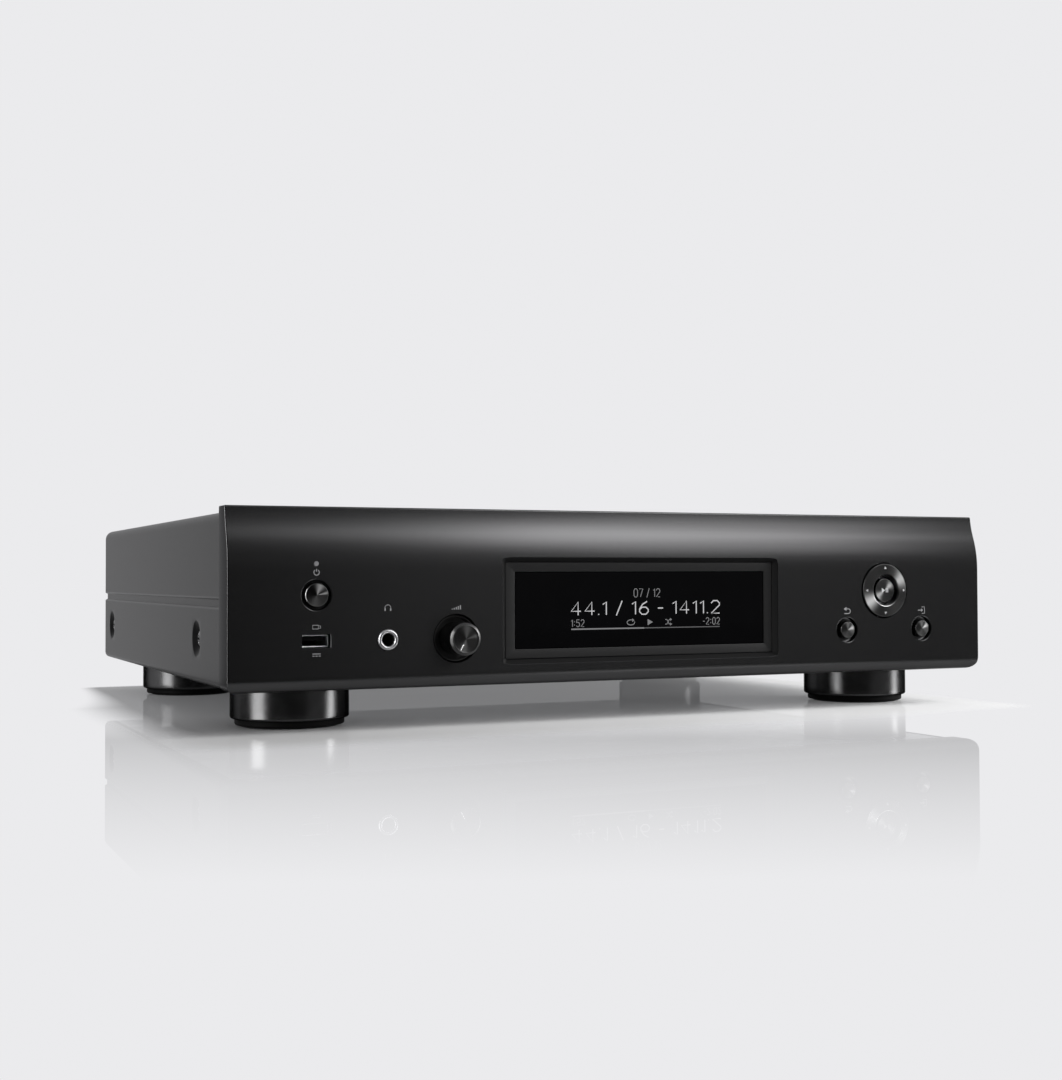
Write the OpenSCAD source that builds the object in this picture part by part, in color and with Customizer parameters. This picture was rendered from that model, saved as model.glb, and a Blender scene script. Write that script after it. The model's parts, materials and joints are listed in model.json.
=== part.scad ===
// Network music streamer: full-width hi-fi component with display, volume knob and cursor ring.
// X to the right, Y to the back, Z up from the floor, in millimetres.

/* [Overall] */
// Width of the front panel
panel_w = 434; // [426:1:446]
// Height from the floor to the top of the front panel
overall_h = 107; // [105:0.5:114]
// Depth from the front plane to the rear edge of the cover
case_depth = 352; // [346:1:372]

/* [Front panel] */
// Height of the panel's lower edge above the floor
panel_bottom_z = 20.2; // [19.8:0.1:20.6]
// Depth of the panel's returned sides
panel_depth = 16.8; // [16.4:0.1:17]
// Thickness of the panel's front wall
panel_wall = 5; // [4.6:0.1:5.2]
// Thickness of the panel's side, top and bottom returns
panel_rim = 3.5; // [3:0.1:3.8]
// Radius of the lower corners in front view
panel_corner_r = 4.5; // [2:0.1:6]
// Radius of the rounded lower front edge
lower_edge_r = 5; // [2:0.1:5]
// Radius of the full arc of the ogee
ogee_lower_r = 52; // [46:1:80]
// Height of the full arc of the ogee
ogee_lower_h = 17.8; // [15:0.1:18]
// Radius of the hollow arc of the ogee
ogee_upper_r = 56; // [50:1:80]
// Height of the hollow arc of the ogee
ogee_upper_h = 12; // [10:0.1:12.5]
// Depth from the front plane to the pocket behind the ogee
ogee_pocket_y = 10.5; // [10:0.1:10.8]
// Diameter of the panel's screw bosses
panel_boss_d = 7; // [6:0.1:7.4]

/* [Control places] */
// Distance from the panel's left edge to the power button and USB socket
left_inset = 42; // [38:0.5:46]
// Distance between the USB socket, headphone jack and volume knob
left_pitch = 35; // [34:0.1:36]
// Distance from the panel's right edge to the cursor ring
right_inset = 66; // [64:0.5:70]
// Sideways distance from the cursor ring to the small buttons
right_pitch = 25.4; // [25:0.1:26]
// Height of the power button and cursor ring
upper_row_z = 65.3; // [64.8:0.1:66]
// Height of the USB socket, jack, knob and small buttons
lower_row_z = 43.8; // [43:0.1:44.2]

/* [Buttons] */
// Diameter of the power button
power_d = 11.6; // [10:0.1:12]
// Diameter of the dish around the power button
power_dish_d = 15; // [14.4:0.1:16]
// Travel of the power button
power_travel = 1.2; // [0.6:0.1:1.4]
// Diameter of the small buttons
small_d = 9; // [8:0.1:9.6]
// Diameter of the dish around a small button
small_dish_d = 14; // [12:0.1:15]
// Travel of the small buttons
small_travel = 1; // [0.5:0.1:1.2]
// Height of a small button's face above the panel
small_proud = 0.7; // [0.5:0.1:1.5]
// Height of the power button's face above the panel
power_proud = 0.8; // [0.5:0.1:1.5]
// Depth of the dishes
dish_cut = 1.6; // [0.8:0.1:2.2]
// Radial gap between a button cap and its hole
cap_gap = 0.45; // [0.35:0.05:0.7]
// Diameter of the power button's stem
power_stem_d = 5; // [4:0.1:5.5]
// Diameter of the small buttons' stems
small_stem_d = 4; // [3.5:0.1:4.5]
// Radial gap between a button stem and its guide
stem_gap = 0.1; // [0.05:0.05:0.2]

/* [Cursor] */
// Outer diameter of the cursor ring
cursor_d = 29.4; // [28.6:0.1:30]
// Bore of the cursor ring
cursor_bore_d = 17; // [16:0.1:18]
// Gap between the cursor ring and the panel
cursor_gap = 0.75; // [0.7:0.05:1]
// Height of the ring's outer edge above the panel
cursor_proud = 0.5; // [0.3:0.1:1]
// Height of the ring's inner rim above its outer edge
cursor_rise = 1; // [0.5:0.1:1.5]
// Diameter of the centre button
enter_d = 13.1; // [12:0.1:13.6]
// Height of the centre button's face above the panel
enter_proud = 0.3; // [0:0.1:0.6]
// Travel of the centre button
enter_travel = 0.8; // [0.4:0.1:1]
// Diameter of the centre button's stem
enter_stem_d = 6; // [5:0.1:6.4]
// Depth of the gimbal axes behind the front plane
pivot_y = 7.5; // [7.4:0.1:7.7]
// Diameter of the gimbal pins
pivot_d = 2; // [1.6:0.1:2.2]
// Radial gap of the gimbal pins in their holes
pivot_gap = 0.05; // [0.03:0.01:0.1]
// Largest tilt of the ring, in degrees
cursor_tilt = 2; // [1:0.1:2.2]

/* [Volume] */
// Diameter of the volume knob
knob_d = 15.8; // [14.8:0.1:17]
// Diameter of the knob's flat face
knob_face_d = 13.4; // [12:0.1:14]
// Reach of the knob in front of the panel
knob_reach = 13; // [10:0.5:16]
// Diameter of the knob's recess in the panel
well_d = 23.5; // [22.5:0.1:25]
// Diameter of the volume shaft
shaft_d = 6; // [5.6:0.1:6.2]
// Radial gap of the shaft in its bush
shaft_gap = 0.05; // [0.03:0.01:0.1]
// Angle of the knob's pointer from straight down
pointer_angle = 29; // [10:1:60]

/* [Headphone jack] */
// Diameter of the jack's ring
phones_ring_d = 10.8; // [10.4:0.1:11.6]
// Bore of the jack for a 6.35 mm plug
phones_bore_d = 6.5; // [6.4:0.05:6.6]
// Outer diameter of the jack's neck
phones_neck_d = 9; // [8.6:0.1:9.4]
// Reach of the jack's ring in front of the panel
phones_ring_h = 1.4; // [1.2:0.1:2]
// Width and height of the jack's body
phones_body_w = 15; // [13:0.5:15]

/* [USB socket] */
// Inner width of the USB shell
usb_w = 12.5; // [12.3:0.1:12.7]
// Inner height of the USB shell
usb_h = 5.12; // [5:0.02:5.3]
// Thickness of the socket shells
shell_t = 0.35; // [0.3:0.05:0.5]
// Gap between the USB shell and the panel
usb_gap = 0.35; // [0.2:0.05:0.5]

/* [Standby lens] */
// Diameter of the standby lens
lens_d = 2.2; // [1.8:0.1:3]
// Height of the standby lens
lens_z = 80; // [79:0.1:81]

/* [Display] */
// Width of the panel beside the display opening
display_side = 136.5; // [135:0.5:138]
// Height of the display opening at the front
display_h = 52.8; // [51:0.1:53]
// Height of the display's middle
display_z = 56.8; // [56.4:0.1:57]
// Width and depth of the bevel around the opening
display_bevel = 2.2; // [1.5:0.1:2.4]
// Depth of the display frame's face behind the front plane
display_recess = 2.4; // [2.4:0.1:2.6]
// Distance from the opening's side to the window
window_side = 7.6; // [7:0.1:10]
// Distance from the opening's upper or lower edge to the window
window_over = 7.1; // [7:0.1:8.5]
// Gap around the window and the display frame
display_gap = 0.2; // [0.1:0.05:0.3]

/* [Cover] */
// Distance from the panel's edge to the cover's side
cover_inset = 1; // [0.5:0.1:2]
// Distance from the panel's top down to the cover's top
cover_drop = 2.2; // [1.5:0.1:3]
// Thickness of the cover's sheet
cover_t = 1.2; // [1:0.1:1.4]
// Outside bend radius of the cover's top edges
cover_bend_r = 3.6; // [2:0.1:5]
// Middle height of the side groove
groove_z = 61.6; // [60:0.1:64]
// Height of the side groove
groove_h = 4.6; // [3.6:0.1:5.4]
// Depth of the side groove
groove_depth = 1.4; // [0.8:0.1:1.6]
// Diameter of a screw dish in the cover's side
dish_d = 18; // [17:0.2:19]
// Diameter of a screw dish's floor
dish_floor_d = 9.2; // [9:0.1:10]
// Depth of a screw dish
dish_depth = 3; // [2.8:0.1:3.4]
// Height of the screw dishes
dish_z = 43.4; // [42:0.1:44]
// Depth of the front dishes behind the front plane
dish_front_y = 69.7; // [66:0.5:76]
// Distance from the cover's rear edge to the rear dishes
dish_rear_inset = 27.3; // [24:0.5:32]
// Depth of the lip that turns down at the rear
rear_lip_h = 11; // [10:0.5:13]

/* [Base and rear] */
// Height of the base's underside
base_z = 21.3; // [21:0.1:21.6]
// Thickness of the base tray
base_t = 1.8; // [1.6:0.1:2]
// Height of the base's side walls above the floor
base_wall_top = 53; // [51:0.5:56]
// Thickness of the rear panel
rear_t = 1.4; // [1.2:0.1:1.5]
// Depth of the rear panel's outer face in from the cover's rear edge
rear_inset = 1.6; // [1.5:0.1:1.8]
// Reach of the rear sockets behind the cover
rear_reach = 10; // [8:0.5:12]
// Clearance between large parts of the case
case_gap = 0.25; // [0.15:0.05:0.4]

/* [Feet] */
// Diameter of a foot
foot_d = 59; // [54:0.5:62]
// Diameter of a foot's lower step
foot_base_d = 54.4; // [51:0.2:55]
// Height of a foot's lower step
foot_step_h = 4; // [3.6:0.1:5]
// Diameter of a foot's pad
pad_d = 48; // [44:0.5:49]
// Thickness of a foot's pad
pad_t = 2; // [1.6:0.1:2.4]
// Height of a foot's lower face above the floor
pad_proud = 0.8; // [0.5:0.1:1]
// Distance from the panel's edge to a foot's middle
foot_side_inset = 44.9; // [42:0.5:50]
// Depth of the front feet behind the front plane
foot_front_y = 56.8; // [53:0.5:64]
// Distance from the cover's rear edge to the rear feet
foot_rear_inset = 60.3; // [56:0.5:66]

/* [Inner front] */
// Depth of the inner frame's front face
frame_y = 12.4; // [12.2:0.1:12.6]
// Thickness of the inner frame
frame_t = 2.6; // [2.4:0.1:2.8]
// Depth of the control boards' front faces
control_y = 22; // [22:0.1:22.4]
// Height of a key switch
switch_h = 3.5; // [3.4:0.1:3.6]
// Thickness of the circuit boards
board_t = 1.6; // [1.2:0.1:1.8]

/* [Inner rear] */
// Height of the stand-offs under the boards
board_lift = 8; // [7:0.5:8]
// Share of the inner width that the supply board takes
supply_share = 0.26; // [0.25:0.005:0.265]
// Depth of the supply board
supply_len = 118; // [112:1:120]
// Share of the inner width that the network board takes
network_share = 0.365; // [0.36:0.005:0.37]
// Depth of the network board
network_len = 128; // [122:1:134]
// Share of the inner width that the audio board takes
audio_share = 0.31; // [0.305:0.005:0.315]
// Depth of the audio board
audio_len = 190; // [180:1:200]
// Diameter of the phono barrels
phono_d = 8.3; // [8:0.1:8.4]
// Distance between the upper and lower rear sockets
socket_rise = 16; // [15:0.5:18]
// Diameter of the reservoir capacitors
reservoir_d = 22; // [18:0.5:24]
// Height of the reservoir capacitors
reservoir_h = 35; // [25:1:40]
// Width of the transformer core
core_w = 80; // [76:1:84]
// Height of the transformer core
core_h = 64; // [56:1:66]
// Depth of the transformer core
core_len = 34; // [30:1:38]

/* [Hidden] */
$fn = 64;
eps = 0.02;
front_y = knob_reach - (knob_reach + case_depth + rear_reach) / 2;
left_x = left_inset - panel_w / 2;
phones_x = left_x + left_pitch;
volume_x = left_x + 2 * left_pitch;
cursor_x = panel_w / 2 - right_inset;
frame_back = frame_y + frame_t;
switch_tip = control_y - switch_h;
tip_slack = 0.1;
ogee_theta = asin(ogee_lower_h / ogee_lower_r);
ogee_start_z = overall_h - ogee_upper_h - ogee_lower_h;
ogee_bend_z = overall_h - ogee_upper_h;
ogee_bend_y = ogee_lower_r * (1 - cos(ogee_theta));
display_w = panel_w - 2 * display_side;
display_hole_w = display_w - 2 * display_bevel;
display_hole_h = display_h - 2 * display_bevel;
display_flange = 3;
display_top = display_z + display_hole_h / 2 + display_flange;
pocket_split_z = display_top + 1;
frame_half_w = panel_w / 2 - panel_rim - case_gap;
frame_bottom = panel_bottom_z + panel_rim + case_gap;
frame_top = overall_h - panel_rim - case_gap;
boss_side_x = panel_w / 2 - 13;
boss_low_z = panel_bottom_z + 10;
boss_high_z = (display_top + overall_h - panel_rim) / 2;
boss_mid_x = 40;
tray_boss_z = frame_bottom + 3.8;
tray_boss_far = panel_w / 2 - 67;
tray_boss_near = 60;
tray_boss_x = [-tray_boss_far, -tray_boss_near, tray_boss_near, tray_boss_far];
pilot_d = 2.5;
screw_d = 2.4;
screw_hole_d = 3.2;
screw_head_d = 5.6;
screw_head_h = 2;
cover_half_w = panel_w / 2 - cover_inset;
cover_top_z = overall_h - cover_drop;
wall_x = cover_half_w - dish_depth - cover_t;
inner_x = wall_x - base_t;
base_top = base_z + base_t;
tray_front_y = frame_back + 2.4;
tray_lip_top = base_z + 9.7;
rear_out = case_depth - rear_inset;
rear_in = rear_out - rear_t;
rear_top = cover_top_z - cover_t - case_gap;
rear_half_w = cover_half_w - cover_t - groove_depth - case_gap;
board_z = base_top + board_lift;
board_top = board_z + board_t;
board_side = 4;
board_room = 2 * (inner_x - board_side);
supply_w = supply_share * board_room;
network_w = network_share * board_room;
audio_w = audio_share * board_room;
board_pitch_gap = (board_room - supply_w - network_w - audio_w) / 2;
supply_x0 = board_side - inner_x;
supply_y1 = rear_in - 32;
supply_y0 = supply_y1 - supply_len;
network_x0 = supply_x0 + supply_w + board_pitch_gap;
network_cx = network_x0 + network_w / 2;
network_y1 = rear_in - 1;
network_y0 = network_y1 - network_len;
audio_x1 = inner_x - board_side;
audio_cx = audio_x1 - audio_w / 2;
audio_y1 = rear_in - 1;
audio_y0 = audio_y1 - audio_len;
socket_z = board_top + 9.5;
phono_x = [audio_cx + 0.36 * audio_w, audio_cx + 0.155 * audio_w, audio_cx - 0.065 * audio_w];
phono_hole_d = phono_d + 0.8;
optical_x = audio_cx - 0.28 * audio_w;
optical_w = 8.2;
optical_nose_w = 17;
optical_room_z = [socket_z - optical_nose_w / 2, socket_z + socket_rise + optical_nose_w / 2];
hdmi_x = network_cx + 0.33 * network_w;
hdmi_w = 14.2;
hdmi_h = 4.8;
hdmi_z = board_top + shell_t + hdmi_h / 2;
usb_b_x = network_cx + 0.145 * network_w;
usb_b_w = 8.5;
usb_b_h = 7.8;
usb_b_wall = 1.4;
usb_b_z = board_top + usb_b_wall + usb_b_h / 2;
lan_x = network_cx - 0.055 * network_w;
lan_w = 11.8;
lan_h = 9;
lan_wall = 1.8;
lan_z = board_top + lan_wall + lan_h / 2;
control_x = [network_cx - 0.24 * network_w, network_cx - 0.335 * network_w];
control_z = board_top + 5.5;
control_bore_d = 3.6;
control_neck_d = 6;
antenna_x = [network_cx - 0.425 * network_w, network_cx + 0.425 * network_w];
antenna_z = cover_top_z - rear_lip_h - 7.8;
antenna_d = 6.3;
inlet_x = 28 - inner_x;
inlet_z = 54;
inlet_w = 24.2;
inlet_h = 16.4;
inlet_wall = 1.6;
inlet_depth = 16.6;
inlet_screw_x = 20;
inlet_flange_t = 2.2;
blade_w = 2;
blade_h = 4;
blade_gap = 0.05;
blade_places = [[-7, -2], [7, -2], [0, 2]];
core_x = 58 - inner_x;
core_y = 118;
limb_w = 26;
core_window_w = (core_w - limb_w) / 2 - 13;
core_window_h = core_h - 26;
winding_t = core_window_w - 0.4;
winding_y = 13;
lead_z = base_top + 29;
lug_w = 12;
lug_t = 4;
skirt_t = 1.5;
ring_web_y = 3;
ring_back_y = 10.4;
carrier_front = pivot_y - 1.5;
carrier_back = pivot_y + 1.5;
carrier_r = cursor_d / 2 - skirt_t - 0.6;
post_d = 3;
post_r = cursor_d / 2 - post_d / 2 - 0.3;
post_end = switch_tip - post_r * sin(cursor_tilt) - 0.15;
ear_near = cursor_d / 2 + 1.2;
ear_far = ear_near + 3.3;
flange_front = panel_wall + 0.3;
flange_back = flange_front + 1.5;
bush_front = 9.6;
usb_back = control_y;
usb_cut_w = usb_w + 2 * shell_t + 2 * usb_gap;
usb_cut_h = usb_h + 2 * shell_t + 2 * usb_gap;
phones_floor = 29.5;
phones_back = 31;
phones_board_z = lower_row_z - phones_body_w / 2 - board_t;
pot_back = frame_back + 12;
bush_d = 7;
well_gap = 0.2;
well_floor_y = panel_wall + 1.4;
display_back = panel_wall + 2.2;
window_w = display_w - 2 * window_side;
window_h = display_h - 2 * window_over;
rebate = 2;
window_flange_y = display_recess + 1.4;
window_back = window_flange_y + 1.8;

// Y is counted from the front plane inside every piece
module in_place() {
    translate([0, front_y, 0])
        children();
}

module box(x0, x1, y0, y1, z0, z1) {
    translate([x0, y0, z0])
        cube([x1 - x0, y1 - y0, z1 - z0]);
}

module rod_y(d, y0, y1, x, z) {
    translate([x, y0, z])
        rotate([-90, 0, 0])
            cylinder(d = d, h = y1 - y0);
}

module cone_y(d0, d1, y0, y1, x, z) {
    translate([x, y0, z])
        rotate([-90, 0, 0])
            cylinder(d1 = d0, d2 = d1, h = y1 - y0);
}

module rod_z(d, z0, z1, x, y) {
    translate([x, y, z0])
        cylinder(d = d, h = z1 - z0);
}

// Profile points are [radius, Y]
module lathe_y(x, z) {
    translate([x, 0, z])
        rotate([-90, 0, 0])
            rotate_extrude()
                children();
}

// The drawing plane is X across, Z up
module extrude_y(y0, y1) {
    translate([0, y1, 0])
        rotate([90, 0, 0])
            linear_extrude(height = y1 - y0)
                children();
}

// The drawing plane is Y across, Z up
module extrude_x(w) {
    rotate([90, 0, 90])
        linear_extrude(height = w, center = true)
            children();
}

module screw_y(head_y, tip_y, x, z) {
    rod_y(screw_head_d, head_y, head_y + screw_head_h, x, z);
    rod_y(screw_d, tip_y, head_y + eps, x, z);
}

// The bends are beads a little wider than the wire
module wire(points, d) {
    for (i = [0 : len(points) - 2]) {
        span = points[i + 1] - points[i];
        reach = norm(span);
        translate(points[i])
            rotate([0, acos(span[2] / reach), atan2(span[1], span[0])])
                cylinder(d = d, h = reach, $fn = 20);
        if (i > 0)
            translate(points[i])
                sphere(d = 1.25 * d, $fn = 20);
    }
}

module panel_side() {
    difference() {
        translate([0, panel_bottom_z])
            square([panel_depth, overall_h - panel_bottom_z]);
        difference() {
            translate([-eps, panel_bottom_z - eps])
                square(lower_edge_r + eps);
            translate([lower_edge_r, panel_bottom_z + lower_edge_r])
                circle(r = lower_edge_r);
        }
        difference() {
            translate([-1, ogee_start_z])
                square([1 + ogee_bend_y, ogee_lower_h]);
            translate([ogee_lower_r, ogee_start_z])
                circle(r = ogee_lower_r);
        }
        intersection() {
            translate([-1, ogee_bend_z])
                square([1 + panel_depth, ogee_upper_h + 1]);
            translate([ogee_bend_y - ogee_upper_r * cos(ogee_theta),
                ogee_bend_z + ogee_upper_r * sin(ogee_theta)])
                circle(r = ogee_upper_r);
        }
    }
}

module panel_front() {
    translate([-panel_w / 2, panel_bottom_z + panel_corner_r])
        square([panel_w, overall_h]);
    translate([panel_corner_r - panel_w / 2, panel_bottom_z])
        square([panel_w - 2 * panel_corner_r, overall_h]);
    for (side = [-1, 1])
        translate([side * (panel_w / 2 - panel_corner_r), panel_bottom_z + panel_corner_r])
            circle(r = panel_corner_r);
}

module display_taper() {
    intersection() {
        translate([0, 0, display_z - display_h])
            linear_extrude(height = 2 * display_h)
                polygon([[-display_w / 2 - 1, -1], [display_w / 2 + 1, -1],
                    [display_hole_w / 2, display_bevel], [-display_hole_w / 2, display_bevel]]);
        extrude_x(2 * display_w)
            polygon([[-1, display_z - display_h / 2 - 1], [-1, display_z + display_h / 2 + 1],
                [display_bevel, display_z + display_hole_h / 2],
                [display_bevel, display_z - display_hole_h / 2]]);
    }
}

module frame_boss_places() {
    for (side = [-1, 1]) {
        translate([side * boss_side_x, 0, boss_low_z])
            children();
        translate([side * boss_side_x, 0, boss_high_z])
            children();
        translate([side * boss_mid_x, 0, boss_high_z])
            children();
    }
}

module front_panel() {
    color("#1d1d1f")
        in_place()
            difference() {
                union() {
                    difference() {
                        intersection() {
                            extrude_x(panel_w)
                                panel_side();
                            extrude_y(-1, panel_depth + 1)
                                panel_front();
                        }
                        box(panel_rim - panel_w / 2, panel_w / 2 - panel_rim, panel_wall,
                            panel_depth + 1, panel_bottom_z + panel_rim, pocket_split_z);
                        box(panel_rim - panel_w / 2, panel_w / 2 - panel_rim, ogee_pocket_y,
                            panel_depth + 1, pocket_split_z - eps, overall_h - panel_rim);
                    }
                    frame_boss_places()
                        rod_y(panel_boss_d, panel_wall - eps, frame_y, 0, 0);
                }
                frame_boss_places()
                    rod_y(pilot_d, 8, frame_y + 1, 0, 0);
                cone_y(power_dish_d, power_d + 2 * cap_gap, -eps, dish_cut, left_x, upper_row_z);
                rod_y(power_d + 2 * cap_gap, -1, panel_wall + 1, left_x, upper_row_z);
                rod_y(lens_d + 0.2, -1, panel_wall + 1, left_x, lens_z);
                box(left_x - usb_cut_w / 2, left_x + usb_cut_w / 2, -1, panel_wall + 1,
                    lower_row_z - usb_cut_h / 2, lower_row_z + usb_cut_h / 2);
                rod_y(phones_neck_d + 0.3, -1, panel_wall + 1, phones_x, lower_row_z);
                rod_y(well_d, -1, panel_wall + 1, volume_x, lower_row_z);
                display_taper();
                box(-display_hole_w / 2, display_hole_w / 2, -1, panel_wall + 1,
                    display_z - display_hole_h / 2, display_z + display_hole_h / 2);
                rod_y(cursor_d + 2 * cursor_gap, -1, panel_wall + 1, cursor_x, upper_row_z);
                for (side = [-1, 1]) {
                    cone_y(small_dish_d, small_d + 2 * cap_gap, -eps, dish_cut,
                        cursor_x + side * right_pitch, lower_row_z);
                    rod_y(small_d + 2 * cap_gap, -1, panel_wall + 1,
                        cursor_x + side * right_pitch, lower_row_z);
                }
            }
}

module left_post_places() {
    for (side = [-1, 1]) {
        translate([left_x + side * 10, 0, upper_row_z - 9])
            children();
        translate([left_x + side * 10, 0, lens_z + 4])
            children();
    }
}

module right_post_places() {
    for (side = [-1, 1]) {
        translate([cursor_x + side * 34, 0, lower_row_z - 6])
            children();
        translate([cursor_x + side * 34, 0, upper_row_z + 15])
            children();
    }
}

module front_frame() {
    color("#2a2a2c")
        in_place()
            difference() {
                union() {
                    box(-frame_half_w, frame_half_w, frame_y, frame_back, frame_bottom, frame_top);
                    rod_y(power_stem_d + 3.6, bush_front, frame_back, left_x, upper_row_z);
                    rod_y(enter_stem_d + 3, frame_y - 1.6, frame_back, cursor_x, upper_row_z);
                    for (side = [-1, 1]) {
                        rod_y(small_stem_d + 3.6, bush_front, frame_back,
                            cursor_x + side * right_pitch, lower_row_z);
                        box(cursor_x - 2.4, cursor_x + 2.4, pivot_y - pivot_d / 2 - 0.9,
                            frame_y + eps,
                            upper_row_z + (side < 0 ? -ear_far : ear_near),
                            upper_row_z + (side < 0 ? -ear_near : ear_far));
                        for (rise = [-1, 1])
                            rod_y(6, display_back + board_t, frame_y + eps,
                                side * (display_hole_w / 2 - 6.3),
                                display_z + rise * (display_hole_h / 2 - 4.2));
                    }
                    left_post_places()
                        rod_y(5, frame_back - eps, control_y, 0, 0);
                    right_post_places()
                        rod_y(5, frame_back - eps, control_y, 0, 0);
                    for (x = tray_boss_x)
                        rod_y(7, frame_back - eps, tray_front_y, x, tray_boss_z);
                }
                box(18.3 - display_hole_w / 2, display_hole_w / 2 - 18.3, frame_y - 1, frame_back + 1,
                    display_z - 15, display_z + 15);
                frame_boss_places()
                    rod_y(screw_hole_d, frame_y - 1, frame_back + 1, 0, 0);
                for (x = tray_boss_x)
                    rod_y(pilot_d, frame_y - 1, tray_front_y + 1, x, tray_boss_z);
                rod_y(power_stem_d + 2 * stem_gap, 0, frame_back + 1, left_x, upper_row_z);
                rod_y(lens_d + 0.4, 0, frame_back + 1, left_x, lens_z);
                box(left_x - usb_cut_w / 2, left_x + usb_cut_w / 2, 0, frame_back + 1,
                    lower_row_z - usb_cut_h / 2, lower_row_z + usb_cut_h / 2);
                box(phones_x - phones_body_w / 2 - case_gap, phones_x + phones_body_w / 2 + case_gap,
                    0, frame_back + 1, lower_row_z - phones_body_w / 2 - case_gap,
                    lower_row_z + phones_body_w / 2 + case_gap);
                rod_y(bush_d + 0.2, 0, frame_back + 1, volume_x, lower_row_z);
                rod_y(enter_stem_d + 2 * stem_gap, 0, frame_back + 1, cursor_x, upper_row_z);
                rod_z(pivot_d + 2 * pivot_gap, upper_row_z - ear_far - 1, upper_row_z + ear_far + 1,
                    cursor_x, pivot_y);
                for (turn = [0 : 90 : 270])
                    rod_y(post_d + 2, frame_y - 1, frame_back + 1,
                        cursor_x + post_r * cos(turn), upper_row_z + post_r * sin(turn));
                for (side = [-1, 1])
                    rod_y(small_stem_d + 2 * stem_gap, 0, frame_back + 1,
                        cursor_x + side * right_pitch, lower_row_z);
            }
}

module front_screws() {
    color("#8a8a8c")
        in_place() {
            frame_boss_places()
                screw_y(frame_back, 8.5, 0, 0);
            for (x = tray_boss_x)
                screw_y(tray_front_y + base_t, frame_y + 0.5, x, tray_boss_z);
        }
}

module display_frame() {
    color("#242426")
        in_place()
            difference() {
                union() {
                    box(display_gap - display_hole_w / 2, display_hole_w / 2 - display_gap,
                        display_recess, panel_wall + eps,
                        display_z - display_hole_h / 2 + display_gap,
                        display_z + display_hole_h / 2 - display_gap);
                    box(-display_hole_w / 2 - display_flange, display_hole_w / 2 + display_flange,
                        panel_wall, display_back, display_z - display_hole_h / 2 - display_flange,
                        display_top);
                }
                box(-window_w / 2, window_w / 2, 0, display_back + 1,
                    display_z - window_h / 2, display_z + window_h / 2);
                box(-window_w / 2 - rebate, window_w / 2 + rebate, window_flange_y, display_back + 1,
                    display_z - window_h / 2 - rebate, display_z + window_h / 2 + rebate);
            }
}

module display_window() {
    color("#050506")
        in_place() {
            box(display_gap - window_w / 2, window_w / 2 - display_gap,
                display_recess + 0.2, window_flange_y + eps,
                display_z - window_h / 2 + display_gap, display_z + window_h / 2 - display_gap);
            box(display_gap - window_w / 2 - rebate, window_w / 2 + rebate - display_gap,
                window_flange_y, window_back,
                display_z - window_h / 2 - rebate + display_gap,
                display_z + window_h / 2 + rebate - display_gap);
        }
}

module display_module() {
    color("#1c4a30")
        in_place() {
            box(1 - window_w / 2, window_w / 2 - 1, window_back + 0.1, display_back + eps,
                display_z - window_h / 2 + 1, display_z + window_h / 2 - 1);
            box(-display_hole_w / 2 - 2, display_hole_w / 2 + 2, display_back,
                display_back + board_t,
                display_z - display_hole_h / 2 - 2, display_z + display_hole_h / 2 + 2);
        }
}

module standby_lens() {
    color("#d8e4e8")
        in_place() {
            rod_y(lens_d, 0, control_y - 0.3, left_x, lens_z);
            rod_y(lens_d + 2, panel_wall, panel_wall + 1.5, left_x, lens_z);
        }
}

module usb_socket() {
    color("#b9babd")
        in_place()
            difference() {
                box(left_x - usb_w / 2 - shell_t, left_x + usb_w / 2 + shell_t, 0.4, usb_back,
                    lower_row_z - usb_h / 2 - shell_t, lower_row_z + usb_h / 2 + shell_t);
                box(left_x - usb_w / 2, left_x + usb_w / 2, 0, usb_back - shell_t,
                    lower_row_z - usb_h / 2, lower_row_z + usb_h / 2);
            }
}

module usb_insert() {
    color("#1a1a1c")
        in_place() {
            box(left_x - usb_w / 2, left_x + usb_w / 2, 13, usb_back - shell_t,
                lower_row_z - usb_h / 2, lower_row_z + usb_h / 2);
            box(left_x - usb_w / 2 + 0.7, left_x + usb_w / 2 - 0.7, 1.6, 13 + eps,
                lower_row_z + usb_h / 2 - 2.6, lower_row_z + usb_h / 2 - 0.7);
        }
}

module phones_jack() {
    color("#202022")
        in_place()
            difference() {
                union() {
                    rod_y(phones_neck_d, -0.6, panel_wall + eps, phones_x, lower_row_z);
                    box(phones_x - phones_body_w / 2, phones_x + phones_body_w / 2, panel_wall,
                        phones_back, lower_row_z - phones_body_w / 2,
                        lower_row_z + phones_body_w / 2);
                }
                rod_y(phones_bore_d, -1, phones_floor, phones_x, lower_row_z);
            }
}

module phones_ring() {
    color("#d4d4d6")
        in_place()
            lathe_y(phones_x, lower_row_z)
                polygon([[phones_bore_d / 2 + 0.05, -0.6], [phones_bore_d / 2 + 0.05, 0.5 - phones_ring_h],
                    [phones_bore_d / 2 + 0.5, -phones_ring_h], [phones_ring_d / 2 - 0.7, -phones_ring_h],
                    [phones_ring_d / 2, 0.7 - phones_ring_h], [phones_ring_d / 2, 0],
                    [phones_neck_d / 2 + 0.02, 0], [phones_neck_d / 2 + 0.02, -0.6]]);
}

module volume_well() {
    color("#0d0d0e")
        in_place()
            lathe_y(volume_x, lower_row_z)
                polygon([[bush_d / 2 + 0.2, panel_wall], [well_d / 2 - 1.3, panel_wall],
                    [well_d / 2 - 1.3, 1.2], [well_d / 2 - well_gap, 1.2],
                    [well_d / 2 - well_gap, panel_wall], [well_d / 2 + 1.8, panel_wall],
                    [well_d / 2 + 1.8, well_floor_y], [bush_d / 2 + 0.2, well_floor_y]]);
}

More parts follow.
